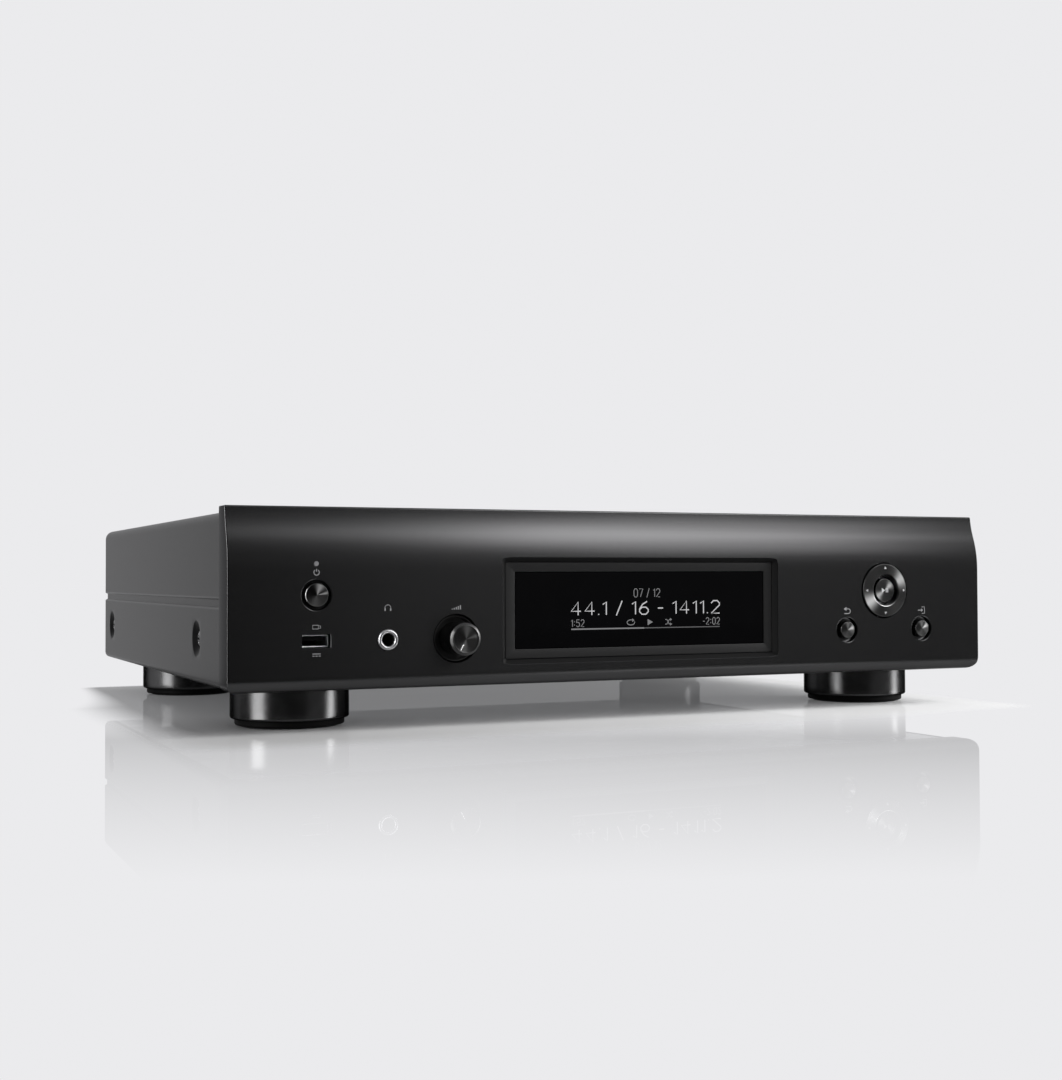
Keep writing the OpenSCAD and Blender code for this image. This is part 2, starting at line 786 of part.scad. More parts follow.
module volume_pot() {
    color("#46474a")
        in_place()
            difference() {
                union() {
                    rod_y(bush_d, panel_wall - 0.4, frame_back + eps, volume_x, lower_row_z);
                    box(volume_x - 9, volume_x + 9, frame_back, pot_back,
                        phones_board_z + board_t, lower_row_z + 9);
                }
                rod_y(shaft_d + 2 * shaft_gap, 0, pot_back - 2, volume_x, lower_row_z);
            }
}

module phones_board() {
    color("#1f5a38")
        in_place()
            box(phones_x - phones_body_w / 2 - 4, volume_x + 13, frame_back + 1, frame_back + 43,
                phones_board_z, phones_board_z + board_t);
}

module left_board() {
    color("#1f5a38")
        in_place()
            box(left_x - 14, left_x + 14, control_y, control_y + board_t,
                lower_row_z - 8, lens_z + 8);
}

module right_board() {
    color("#1f5a38")
        in_place()
            box(cursor_x - 38, cursor_x + 38, control_y, control_y + board_t,
                lower_row_z - 10, upper_row_z + 19);
}

module key_switch(x, z) {
    box(x - 3, x + 3, switch_tip + 0.9, control_y, z - 3, z + 3);
    rod_y(3.4, switch_tip, switch_tip + 0.9 + eps, x, z);
}

module key_switches() {
    color("#55565a")
        in_place() {
            key_switch(left_x, upper_row_z);
            key_switch(cursor_x, upper_row_z);
            for (turn = [0 : 90 : 270])
                key_switch(cursor_x + post_r * cos(turn), upper_row_z + post_r * sin(turn));
            for (side = [-1, 1])
                key_switch(cursor_x + side * right_pitch, lower_row_z);
        }
}

module dish_places() {
    for (side = [0, 1])
        mirror([side, 0, 0]) {
            translate([cover_half_w, dish_front_y, dish_z])
                rotate([0, -90, 0])
                    children();
            translate([cover_half_w, case_depth - dish_rear_inset, dish_z])
                rotate([0, -90, 0])
                    children();
        }
}

module foot_place(side, y) {
    translate([side * (panel_w / 2 - foot_side_inset), y, 0])
        children();
}

module all_foot_places() {
    for (side = [-1, 1]) {
        foot_place(side, foot_front_y)
            children();
        foot_place(side, case_depth - foot_rear_inset)
            children();
    }
}

module board_places() {
    for (x = [supply_x0 + 6, supply_x0 + supply_w - 6])
        for (y = [supply_y0 + 6, supply_y1 - 6])
            translate([x, y, 0])
                children();
    for (x = [network_x0 + 6, network_x0 + network_w - 6])
        for (y = [network_y0 + 6, network_y1 - 22])
            translate([x, y, 0])
                children();
    for (x = [audio_x1 - audio_w + 6, audio_x1 - 6])
        for (y = [audio_y0 + 6, audio_y1 - 22])
            translate([x, y, 0])
                children();
}

module lug_places() {
    for (side = [-1, 1])
        translate([core_x + side * (core_w / 2 + lug_w / 2), core_y, 0])
            children();
}

module base_tray() {
    color("#77787b")
        in_place()
            difference() {
                union() {
                    box(-wall_x, wall_x, tray_front_y, rear_out, base_z, base_top);
                    box(-wall_x, wall_x, tray_front_y, tray_front_y + base_t, base_z, tray_lip_top);
                    for (side = [0, 1])
                        mirror([side, 0, 0])
                            box(inner_x, wall_x, tray_front_y, rear_in, base_z, base_wall_top);
                }
                for (x = tray_boss_x)
                    rod_y(screw_hole_d, tray_front_y - 1, tray_front_y + base_t + 1, x, tray_boss_z);
                dish_places()
                    cylinder(d = 4.1, h = 20);
                all_foot_places()
                    cylinder(d = 4.2, h = 60);
                lug_places()
                    rod_z(pilot_d, base_z - 1, base_top + 1, 0, 0);
                for (i = [0 : 9]) {
                    box(supply_x0 + 12 + i * 9, supply_x0 + 15 + i * 9,
                        supply_y0 + 12, supply_y0 + 56, base_z - 1, base_top + 1);
                    box(audio_cx - 42 + i * 9, audio_cx - 39 + i * 9,
                        audio_y0 + 30, audio_y0 + 80, base_z - 1, base_top + 1);
                }
            }
}

module phono_places() {
    for (x = phono_x)
        for (rise = [0, 1])
            translate([x, 0, socket_z + rise * socket_rise])
                children();
}

module rear_screw_places() {
    for (x = [66 - cover_half_w, 0, cover_half_w - 66])
        translate([x, 0, cover_top_z - rear_lip_h / 2 - 1])
            children();
}

module rear_panel() {
    color("#26272a")
        in_place()
            difference() {
                box(-rear_half_w, rear_half_w, rear_in, rear_out, base_top, rear_top);
                phono_places()
                    rod_y(phono_hole_d, rear_in - 1, rear_out + 1, 0, 0);
                box(optical_x - optical_nose_w / 2 - case_gap, optical_x + optical_nose_w / 2 + case_gap,
                    rear_in - 1, rear_out + 1,
                    optical_room_z[0] - case_gap, optical_room_z[1] + case_gap);
                translate([hdmi_x, 0, hdmi_z])
                    box(-hdmi_w / 2 - shell_t - case_gap, hdmi_w / 2 + shell_t + case_gap,
                        rear_in - 1, rear_out + 1,
                        -hdmi_h / 2 - shell_t - case_gap, hdmi_h / 2 + shell_t + case_gap);
                translate([usb_b_x, 0, usb_b_z])
                    box(-usb_b_w / 2 - usb_b_wall - case_gap, usb_b_w / 2 + usb_b_wall + case_gap,
                        rear_in - 1, rear_out + 1,
                        -usb_b_h / 2 - usb_b_wall - case_gap, usb_b_h / 2 + usb_b_wall + case_gap);
                translate([lan_x, 0, lan_z])
                    box(-lan_w / 2 - lan_wall - case_gap, lan_w / 2 + lan_wall + case_gap,
                        rear_in - 1, rear_out + 1,
                        -lan_h / 2 - lan_wall - case_gap, lan_h / 2 + lan_wall + case_gap);
                for (x = control_x)
                    rod_y(control_neck_d + 2 * case_gap, rear_in - 1, rear_out + 1, x, control_z);
                for (x = antenna_x)
                    rod_y(antenna_d + 0.2, rear_in - 1, rear_out + 1, x, antenna_z);
                translate([inlet_x, 0, inlet_z])
                    box(-inlet_w / 2 - inlet_wall - case_gap, inlet_w / 2 + inlet_wall + case_gap,
                        rear_in - 1, rear_out + 1,
                        -inlet_h / 2 - inlet_wall - case_gap, inlet_h / 2 + inlet_wall + case_gap);
                for (side = [-1, 1])
                    rod_y(pilot_d, rear_in - 1, rear_out + 1, inlet_x + side * inlet_screw_x, inlet_z);
                rear_screw_places()
                    rod_y(pilot_d, rear_in - 1, rear_out + 1, 0, 0);
            }
}

// Cover section drawn at an inset from the outer face
module cover_section(inset) {
    half_w = cover_half_w - inset;
    top = cover_top_z - inset;
    bend = cover_bend_r - inset;
    notch = groove_depth;
    low = groove_z - groove_h / 2 - inset;
    high = groove_z + groove_h / 2 + inset;
    difference() {
        union() {
            translate([-half_w, base_z - inset])
                square([2 * half_w, top - bend - base_z + inset]);
            translate([bend - half_w, base_z - inset])
                square([2 * (half_w - bend), top - base_z + inset]);
            for (side = [-1, 1])
                translate([side * (half_w - bend), top - bend])
                    circle(r = bend);
        }
        for (side = [-1, 1])
            polygon([[side * (half_w + 1), low - 1], [side * (half_w - notch), low + notch / 2],
                [side * (half_w - notch), high - notch / 2], [side * (half_w + 1), high + 1]]);
    }
}

module top_cover() {
    color("#3a3b3e")
        in_place()
            difference() {
                union() {
                    extrude_y(panel_depth, case_depth)
                        difference() {
                            cover_section(0);
                            cover_section(cover_t);
                        }
                    for (side = [0, 1])
                        mirror([side, 0, 0])
                            box(wall_x + case_gap, cover_half_w - cover_t / 2, panel_depth + 2,
                                case_depth - 2, base_z, base_z + cover_t);
                    box(6 - cover_half_w, cover_half_w - 6, rear_out, rear_out + cover_t,
                        cover_top_z - rear_lip_h, cover_top_z - cover_t + eps);
                    dish_places()
                        translate([0, 0, cover_t])
                            cylinder(d1 = dish_d + 2 * cover_t, d2 = dish_floor_d + 2 * cover_t,
                                h = dish_depth);
                }
                dish_places()
                    translate([0, 0, -eps])
                        cylinder(d1 = dish_d, d2 = dish_floor_d, h = dish_depth + eps);
                dish_places()
                    cylinder(d = 4.4, h = 20);
                rear_screw_places()
                    rod_y(screw_hole_d, rear_out - 1, rear_out + cover_t + 1, 0, 0);
            }
}

module side_screws() {
    color("#2b2c2e")
        in_place()
            dish_places()
                translate([0, 0, dish_depth]) {
                    translate([0, 0, -1.2])
                        cylinder(d = 8, h = 1.2);
                    translate([0, 0, -2.2])
                        difference() {
                            cylinder(d1 = 5.4, d2 = 8, h = 1 + eps);
                            translate([0, 0, -eps])
                                cylinder(d = 2.6, h = 0.8, $fn = 6);
                        }
                    translate([0, 0, -eps])
                        cylinder(d = 4, h = 8);
                }
}

module rear_screws() {
    color("#2b2c2e")
        in_place() {
            rear_screw_places()
                screw_y(rear_out + cover_t, rear_in - 3, 0, 0);
            for (side = [-1, 1])
                screw_y(rear_out + inlet_flange_t, rear_in - 3, inlet_x + side * inlet_screw_x, inlet_z);
        }
}

module foot() {
    rotate_extrude()
        polygon([[2.2, base_z], [foot_d / 2, base_z], [foot_d / 2, foot_step_h + 0.8],
            [foot_d / 2 - 0.8, foot_step_h], [foot_base_d / 2, foot_step_h],
            [foot_base_d / 2, pad_proud + 1], [foot_base_d / 2 - 1, pad_proud],
            [pad_d / 2 + 0.1, pad_proud], [pad_d / 2 + 0.1, pad_t], [5, pad_t],
            [5, 14], [2.2, 14]]);
}

module foot_front_left() {
    color("#0c0c0d")
        in_place()
            foot_place(-1, foot_front_y)
                foot();
}

module foot_front_right() {
    color("#0c0c0d")
        in_place()
            foot_place(1, foot_front_y)
                foot();
}

module foot_rear_left() {
    color("#0c0c0d")
        in_place()
            foot_place(-1, case_depth - foot_rear_inset)
                foot();
}

module foot_rear_right() {
    color("#0c0c0d")
        in_place()
            foot_place(1, case_depth - foot_rear_inset)
                foot();
}

module foot_pads() {
    color("#1a1a1a")
        in_place()
            all_foot_places()
                difference() {
                    cylinder(d = pad_d, h = pad_t);
                    translate([0, 0, -1])
                        cylinder(d = 12, h = pad_t + 2);
                }
}

module foot_screws() {
    color("#8a8a8c")
        in_place()
            all_foot_places() {
                translate([0, 0, 11])
                    cylinder(d = 8, h = 3);
                translate([0, 0, 14 - eps])
                    cylinder(d = 4, h = base_top - 14 + 3);
            }
}

module transformer_core() {
    color("#4d4f52")
        in_place()
            difference() {
                union() {
                    box(core_x - core_w / 2, core_x + core_w / 2, core_y - core_len / 2,
                        core_y + core_len / 2, base_top, base_top + core_h);
                    lug_places()
                        box(-lug_w / 2 - eps, lug_w / 2 + eps, -core_len / 2, core_len / 2,
                            base_top, base_top + lug_t);
                }
                for (side = [-1, 1])
                    translate([core_x + side * (limb_w + core_window_w) / 2, core_y,
                        base_top + core_h / 2])
                        cube([core_window_w, core_len + 2, core_window_h], center = true);
                lug_places()
                    rod_z(screw_hole_d, base_top - 1, base_top + lug_t + 1, 0, 0);
            }
}

module transformer_winding() {
    color("#a8842c")
        in_place()
            translate([core_x, core_y, base_top + core_h / 2])
                difference() {
                    cube([limb_w + 2 * winding_t, core_len + 2 * winding_y, core_window_h - 0.4],
                        center = true);
                    cube([limb_w + 0.2, core_len + 0.2, core_h], center = true);
                }
}

module supply_board() {
    color("#1f5a38")
        in_place()
            difference() {
                union() {
                    box(supply_x0, supply_x0 + supply_w, supply_y0, supply_y1, board_z, board_top);
                    box(supply_x0 + 6, supply_x0 + 30, supply_y1 - 26, supply_y1 - 14,
                        board_top - eps, board_top + 9);
                    box(supply_x0 + 40, supply_x0 + 72, supply_y0 + 3, supply_y0 + 11,
                        board_top - eps, board_top + 9);
                }
                board_places()
                    rod_z(screw_hole_d, board_z - 1, board_top + 1, 0, 0);
            }
}

module capacitors() {
    color("#23303f")
        in_place() {
            for (i = [0, 1])
                for (j = [0, 1])
                    rod_z(reservoir_d, board_top, board_top + reservoir_h,
                        supply_x0 + 26 + i * 28, supply_y0 + 34 + j * 28);
            for (i = [0 : 3])
                for (j = [0, 1])
                    rod_z(12, board_top, board_top + 20, audio_cx - 36 + i * 24,
                        audio_y0 + 60 + j * 30);
        }
}

module heat_sink() {
    color("#6f7276")
        in_place() {
            box(supply_x0 + 78, supply_x0 + 82, supply_y0 + 20, supply_y0 + 84,
                board_top, board_top + 36);
            for (i = [0 : 7])
                box(supply_x0 + 82 - eps, supply_x0 + 96, supply_y0 + 20 + i * 8.8,
                    supply_y0 + 22.4 + i * 8.8, board_top, board_top + 36);
        }
}

module mains_inlet() {
    color("#141415")
        in_place()
            translate([inlet_x, 0, inlet_z])
                difference() {
                    union() {
                        box(-inlet_w / 2 - inlet_wall, inlet_w / 2 + inlet_wall, rear_in - 23,
                            rear_out + eps, -inlet_h / 2 - inlet_wall, inlet_h / 2 + inlet_wall);
                        box(-24, 24, rear_out, rear_out + inlet_flange_t, -11.5, 11.5);
                    }
                    box(-inlet_w / 2, inlet_w / 2, rear_out + inlet_flange_t - inlet_depth,
                        rear_out + inlet_flange_t + 1, -inlet_h / 2, inlet_h / 2);
                    for (p = blade_places)
                        translate([p[0], rear_in - 12, p[1]])
                            cube([blade_w + 2 * blade_gap, 40, blade_h + 2 * blade_gap], center = true);
                    for (side = [-1, 1])
                        rod_y(screw_hole_d, rear_out - 1, rear_out + inlet_flange_t + 1,
                            side * inlet_screw_x, 0);
                }
}

module mains_blades() {
    color("#c2b280")
        in_place()
            translate([inlet_x, 0, inlet_z])
                for (p = blade_places)
                    box(p[0] - blade_w / 2, p[0] + blade_w / 2, rear_in - 30, rear_out - 1,
                        p[1] - blade_h / 2, p[1] + blade_h / 2);
}

module audio_board() {
    color("#1f5a38")
        in_place()
            difference() {
                union() {
                    box(audio_x1 - audio_w, audio_x1, audio_y0, audio_y1, board_z, board_top);
                    box(audio_cx - 40, audio_cx - 14, audio_y0 + 14, audio_y0 + 20,
                        board_top - eps, board_top + 5);
                    box(audio_cx - 10, audio_cx + 4, audio_y0 + 110, audio_y0 + 124,
                        board_top - eps, board_top + 1.6);
                }
                board_places()
                    rod_z(screw_hole_d, board_z - 1, board_top + 1, 0, 0);
            }
}

module phono_blocks() {
    color("#18181a")
        in_place()
            for (x = phono_x)
                box(x - 7, x + 7, rear_in - 13, rear_in, board_top, socket_z + socket_rise + 7.5);
}

module phono_sockets() {
    color("#cfa94a")
        in_place()
            phono_places()
                difference() {
                    union() {
                        rod_y(phono_d, rear_in, case_depth + rear_reach, 0, 0);
                        rod_y(phono_d + 2.6, rear_out, rear_out + 1, 0, 0);
                    }
                    rod_y(3.4, rear_in + 2, case_depth + rear_reach + 1, 0, 0);
                }
}

module optical_sockets() {
    color("#151517")
        in_place()
            difference() {
                union() {
                    box(optical_x - optical_nose_w / 2 - 1, optical_x + optical_nose_w / 2 + 1,
                        rear_in - 13, rear_in, board_top, optical_room_z[1] + 1);
                    box(optical_x - optical_nose_w / 2, optical_x + optical_nose_w / 2,
                        rear_in - eps, rear_out + 1, optical_room_z[0], optical_room_z[1]);
                }
                for (rise = [0, 1])
                    translate([optical_x, 0, socket_z + rise * socket_rise])
                        box(-optical_w / 2, optical_w / 2, rear_in - 8.5, rear_out + 2,
                            -optical_w / 2, optical_w / 2);
            }
}

module network_board() {
    color("#1f5a38")
        in_place()
            difference() {
                union() {
                    box(network_x0, network_x0 + network_w, network_y0, network_y1, board_z, board_top);
                    box(network_cx + 6, network_cx + 34, network_y0 + 4, network_y0 + 9,
                        board_top - eps, board_top + 3);
                    box(network_cx - 34, network_cx - 6, network_y0 + 4, network_y0 + 9,
                        board_top - eps, board_top + 3);
                }
                board_places()
                    rod_z(screw_hole_d, board_z - 1, board_top + 1, 0, 0);
            }
}

module network_shield() {
    color("#a9abad")
        in_place()
            difference() {
                box(network_cx - 30, network_cx + 30, network_y0 + 28, network_y0 + 74,
                    board_top, board_top + 8);
                box(network_cx - 29.4, network_cx + 29.4, network_y0 + 28.6, network_y0 + 73.4,
                    board_top - 1, board_top + 7.4);
            }
}

module lan_socket() {
    color("#b9babd")
        in_place()
            translate([lan_x, 0, lan_z])
                difference() {
                    box(-lan_w / 2 - lan_wall, lan_w / 2 + lan_wall, rear_in - 18, rear_out + 0.8,
                        -lan_h / 2 - lan_wall, lan_h / 2 + lan_wall);
                    box(-lan_w / 2, lan_w / 2, rear_in - 14, rear_out + 2, -lan_h / 2, lan_h / 2);
                }
}

module usb_b_socket() {
    color("#b9babd")
        in_place()
            translate([usb_b_x, 0, usb_b_z])
                difference() {
                    box(-usb_b_w / 2 - usb_b_wall, usb_b_w / 2 + usb_b_wall, rear_in - 14,
                        rear_out + 0.8, -usb_b_h / 2 - usb_b_wall, usb_b_h / 2 + usb_b_wall);
                    box(-usb_b_w / 2, usb_b_w / 2, rear_in - 11, rear_out + 2, -usb_b_h / 2, usb_b_h / 2);
                }
}

module hdmi_socket() {
    color("#b9babd")
        in_place()
            translate([hdmi_x, 0, hdmi_z])
                difference() {
                    box(-hdmi_w / 2 - shell_t, hdmi_w / 2 + shell_t, rear_in - 11, rear_out + 0.8,
                        -hdmi_h / 2 - shell_t, hdmi_h / 2 + shell_t);
                    box(-hdmi_w / 2, hdmi_w / 2, rear_in - 10, rear_out + 2, -hdmi_h / 2, hdmi_h / 2);
                }
}

module socket_inserts() {
    color("#1a1a1c")
        in_place() {
            translate([hdmi_x, 0, hdmi_z]) {
                box(-hdmi_w / 2, hdmi_w / 2, rear_in - 10, rear_in - 7.4, -hdmi_h / 2, hdmi_h / 2);
                box(-6, 6, rear_in - 7.4 - eps, rear_out - 0.6, -0.6, 0.6);
            }
            translate([usb_b_x, 0, usb_b_z]) {
                box(-usb_b_w / 2, usb_b_w / 2, rear_in - 11, rear_in - 8.6, -usb_b_h / 2, usb_b_h / 2);
                box(-2.8, 2.8, rear_in - 8.6 - eps, rear_out - 1, -1.6, 1.6);
            }
            translate([lan_x, 0, lan_z])
                box(-lan_w / 2, lan_w / 2, rear_in - 14, rear_out - 4, lan_h / 2 - 1.6, lan_h / 2);
        }
}

module control_jacks() {
    color("#1a1a1c")
        in_place()
            for (x = control_x)
                difference() {
                    union() {
                        box(x - 4.5, x + 4.5, rear_in - 14, rear_in, board_top, control_z + 5.5);
                        rod_y(control_neck_d, rear_in - eps, rear_out + 1, x, control_z);
                    }
                    rod_y(control_bore_d, rear_in - 12, rear_out + 2, x, control_z);
                }
}

module antenna_sockets() {
    color("#cfa94a")
        in_place()
            for (x = antenna_x)
                difference() {
                    union() {
                        rod_y(antenna_d, rear_in - 4, case_depth + rear_reach - 1, x, antenna_z);
                        translate([x, rear_in - 2.4, antenna_z])
                            rotate([-90, 0, 0])
                                cylinder(d = 9.4, h = 2.4, $fn = 6);
                        translate([x, rear_out, antenna_z])
                            rotate([-90, 0, 0])
                                cylinder(d = 9.4, h = 2, $fn = 6);
                    }
                    rod_y(1.3, case_depth + rear_reach - 6, case_depth + rear_reach, x, antenna_z);
                }
}

module ribbon_cables() {
    color("#d9d6cb")
        in_place() {
            box(network_cx + 8, network_cx + 32, display_back + board_t, 60, display_z - 6, display_z - 5.6);
            box(network_cx + 8, network_cx + 32, 59.6, 60, board_top + 3, display_z - 6 + eps);
            box(network_cx + 8, network_cx + 32, 59.6, network_y0 + 8, board_top + 3, board_top + 3.4);
            box(cursor_x - 36, cursor_x - 14, control_y + board_t, control_y + board_t + 0.4,
                board_top + 5, lower_row_z);
            box(cursor_x - 36, cursor_x - 14, control_y + board_t, audio_y0 + 19,
                board_top + 5, board_top + 5.4);
        }
}

module internal_leads() {
    color("#2e2e30")
        in_place() {
            for (i = [0, 1])
                wire([[inlet_x + blade_places[i][0], rear_in - 30, inlet_z - 2],
                    [inlet_x + blade_places[i][0], rear_in - 38, inlet_z - 2],
                    [supply_x0 + 12 + i * 12, supply_y1 - 20, board_top + 10]], 2.4);
            for (i = [0 : 2])
                wire([[core_x - 12 + i * 12, core_y + core_len / 2 + winding_y, base_top + core_h / 2],
                    [core_x - 12 + i * 12, core_y + core_len / 2 + winding_y + 14, base_top + core_h / 2],
                    [supply_x0 + 46 + i * 10, supply_y0 + 7, board_top + 10]], 2);
            for (i = [0, 1])
                wire([[antenna_x[i], rear_in - 4.3, antenna_z],
                    [antenna_x[i], network_y0 + 60, antenna_z - 20],
                    [network_cx + (i == 0 ? -22 : 22), network_y0 + 50, board_top + 8.6]], 1.2);
            wire([[volume_x, pot_back + 4, phones_board_z + board_t + 0.9],
                [volume_x, pot_back + 10, lead_z],
                [audio_cx - 50, audio_y0 + 10, lead_z],
                [audio_cx - 50, audio_y0 + 12, board_top + 0.9]], 1.8);
        }
}

module board_standoffs() {
    color("#a08440")
        in_place()
            board_places()
                difference() {
                    rod_z(7, base_top, board_z, 0, 0);
                    rod_z(pilot_d, base_top + 1, board_z + 1, 0, 0);
                }
}

module board_screws() {
    color("#8a8a8c")
        in_place() {
            board_places() {
                rod_z(screw_head_d, board_top, board_top + screw_head_h, 0, 0);
                rod_z(screw_d, board_z - 5, board_top + eps, 0, 0);
            }
            lug_places() {
                rod_z(screw_head_d, base_top + lug_t, base_top + lug_t + screw_head_h, 0, 0);
                rod_z(screw_d, base_z, base_top + lug_t + eps, 0, 0);
            }
        }
}

// Push button: cap, retaining flange and stem on one axis
module push_button(cap_d, proud, stem_d, travel, x, z) {
    lathe_y(x, z)
        polygon([[0, -proud], [cap_d / 2 - 0.5, -proud], [cap_d / 2, 0.5 - proud],
            [cap_d / 2, flange_front], [cap_d / 2 + 1.3, flange_front],
            [cap_d / 2 + 1.3, flange_back], [stem_d / 2, flange_back],
            [stem_d / 2, switch_tip - travel - tip_slack], [0, switch_tip - travel - tip_slack]]);
}

module power_button() {
    color("#4a4b4e")
        in_place()
            push_button(power_d, power_proud, power_stem_d, power_travel, left_x, upper_row_z);
}

module back_button() {
    color("#4a4b4e")
        in_place()
            push_button(small_d, small_proud, small_stem_d, small_travel,
                cursor_x - right_pitch, lower_row_z);
}

module source_button() {
    color("#4a4b4e")
        in_place()
            push_button(small_d, small_proud, small_stem_d, small_travel,
                cursor_x + right_pitch, lower_row_z);
}

module volume_knob() {
    color("#1b1b1d")
        in_place()
            difference() {
                lathe_y(volume_x, lower_row_z)
                    polygon([[0, -knob_reach], [knob_face_d / 2, -knob_reach],
                        [knob_d / 2, (knob_d - knob_face_d) / 2 - knob_reach],
                        [knob_d / 2, 3.6], [shaft_d / 2, 3.6], [shaft_d / 2, 5 - knob_reach],
                        [0, 5 - knob_reach]]);
                translate([volume_x, -knob_reach, lower_row_z])
                    rotate([0, pointer_angle, 0])
                        box(-0.5, 0.5, -1, 0.5, -knob_d, -knob_d / 2 + 4.2);
            }
}

module volume_shaft() {
    color("#b0b1b4")
        in_place()
            rod_y(shaft_d, 5 - knob_reach, pot_back - 2.3, volume_x, lower_row_z);
}

module cursor_carrier() {
    color("#6a6b6e")
        in_place()
            translate([cursor_x, 0, upper_row_z])
                difference() {
                    union() {
                        rod_y(2 * carrier_r, carrier_front, carrier_back, 0, 0);
                        translate([0, pivot_y, 0]) {
                            rotate([0, 90, 0])
                                cylinder(d = pivot_d, h = cursor_d - 0.6, center = true);
                            cylinder(d = pivot_d, h = 2 * ear_far - 0.6, center = true);
                        }
                    }
                    rod_y(enter_stem_d + 4, 0, 20, 0, 0);
                }
}

module cursor_ring() {
    color("#3f4043")
        in_place()
            translate([cursor_x, 0, upper_row_z])
                difference() {
                    union() {
                        lathe_y(0, 0)
                            polygon([[cursor_d / 2, 0.3 - cursor_proud],
                                [cursor_d / 2 - 0.3, -cursor_proud],
                                [cursor_bore_d / 2 + 0.7, -cursor_proud - cursor_rise],
                                [cursor_bore_d / 2, 0.7 - cursor_proud - cursor_rise],
                                [cursor_bore_d / 2, ring_web_y],
                                [cursor_d / 2 - skirt_t, ring_web_y],
                                [cursor_d / 2 - skirt_t, ring_back_y], [cursor_d / 2, ring_back_y]]);
                        for (turn = [0 : 90 : 270])
                            rod_y(post_d, ring_back_y - 0.4, post_end,
                                post_r * cos(turn), post_r * sin(turn));
                    }
                    translate([0, pivot_y, 0]) {
                        rotate([0, 90, 0])
                            cylinder(d = pivot_d + 2 * pivot_gap, h = cursor_d + 2, center = true);
                        cube([pivot_d + 1.2, pivot_d + 1.6, cursor_d + 4], center = true);
                    }
                }
}

module enter_button() {
    color("#4a4b4e")
        in_place()
            lathe_y(cursor_x, upper_row_z)
                polygon([[0, -enter_proud], [enter_d / 2 - 0.5, -enter_proud],
                    [enter_d / 2, 0.5 - enter_proud], [enter_d / 2, 3.4], [enter_stem_d / 2, 3.4],
                    [enter_stem_d / 2, frame_back + 0.3], [enter_stem_d / 2 + 1, frame_back + 0.3],
                    [enter_stem_d / 2 + 1, frame_back + 1.3], [enter_stem_d / 2, frame_back + 1.3],
                    [enter_stem_d / 2, switch_tip - enter_travel - tip_slack],
                    [0, switch_tip - enter_travel - tip_slack]]);
}

front_panel();
front_frame();
front_screws();
display_frame();
display_window();
display_module();
standby_lens();
usb_socket();
usb_insert();
phones_jack();
phones_ring();
volume_well();
volume_pot();
phones_board();
left_board();
right_board();
key_switches();
base_tray();
rear_panel();
top_cover();
side_screws();
rear_screws();
foot_front_left();
foot_front_right();
foot_rear_left();
foot_rear_right();
foot_pads();
foot_screws();
transformer_core();
transformer_winding();
supply_board();
capacitors();
heat_sink();
mains_inlet();
mains_blades();
audio_board();
phono_blocks();
phono_sockets();
optical_sockets();
network_board();
network_shield();
lan_socket();
usb_b_socket();
hdmi_socket();
socket_inserts();
control_jacks();
antenna_sockets();
ribbon_cables();
internal_leads();
board_standoffs();
board_screws();
power_button();
volume_knob();
volume_shaft();
cursor_carrier();
cursor_ring();
enter_button();
back_button();
source_button();
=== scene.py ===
import json
import math

import bmesh
import bpy
import numpy as np
from mathutils import Matrix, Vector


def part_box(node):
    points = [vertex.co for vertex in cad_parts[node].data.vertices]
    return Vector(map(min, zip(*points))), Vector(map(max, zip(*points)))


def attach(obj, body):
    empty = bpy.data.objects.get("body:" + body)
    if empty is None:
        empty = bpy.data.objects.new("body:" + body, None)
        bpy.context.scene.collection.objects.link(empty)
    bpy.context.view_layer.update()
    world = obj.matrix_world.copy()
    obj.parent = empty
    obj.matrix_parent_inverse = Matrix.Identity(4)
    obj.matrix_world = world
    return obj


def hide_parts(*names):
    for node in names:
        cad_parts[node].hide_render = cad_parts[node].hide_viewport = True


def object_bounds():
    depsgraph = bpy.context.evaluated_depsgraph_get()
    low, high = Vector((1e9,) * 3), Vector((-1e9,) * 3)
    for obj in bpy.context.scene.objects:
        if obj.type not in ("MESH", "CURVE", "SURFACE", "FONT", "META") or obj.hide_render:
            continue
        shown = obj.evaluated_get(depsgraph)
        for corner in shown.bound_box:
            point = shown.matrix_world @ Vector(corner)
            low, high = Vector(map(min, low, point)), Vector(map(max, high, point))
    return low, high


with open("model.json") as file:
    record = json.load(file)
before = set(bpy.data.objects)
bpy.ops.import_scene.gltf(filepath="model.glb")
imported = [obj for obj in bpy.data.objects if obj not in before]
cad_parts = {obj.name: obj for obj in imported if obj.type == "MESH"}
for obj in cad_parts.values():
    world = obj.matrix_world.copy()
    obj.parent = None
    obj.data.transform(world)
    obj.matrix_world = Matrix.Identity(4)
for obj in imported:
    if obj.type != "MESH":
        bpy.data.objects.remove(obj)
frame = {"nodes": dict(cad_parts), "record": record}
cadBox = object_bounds()
scene = bpy.context.scene
scene.view_settings.view_transform = "Standard"
mm = 0.001
weld = 1e-6  # metres within which two points are one, so that seams and poles close
tiny = 1e-9  # keeps a division by a length from failing
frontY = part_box("front_panel")[0].y / mm  # front plane of the panel; every y below counts from it
print("frame loaded:", len(frame["nodes"]), "nodes")


# small helpers for meshes, all lengths in millimetres

def nodeBox(node):
    low, high = (np.array(corner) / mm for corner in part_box(node))
    return low - (0, frontY, 0), high - (0, frontY, 0)


def nodeMiddle(node):
    low, high = nodeBox(node)
    return (low + high) / 2


def axisPoint(node):
    # where the axis of a turned piece meets the front plane
    return nodeMiddle(node) * (1, 0, 1)


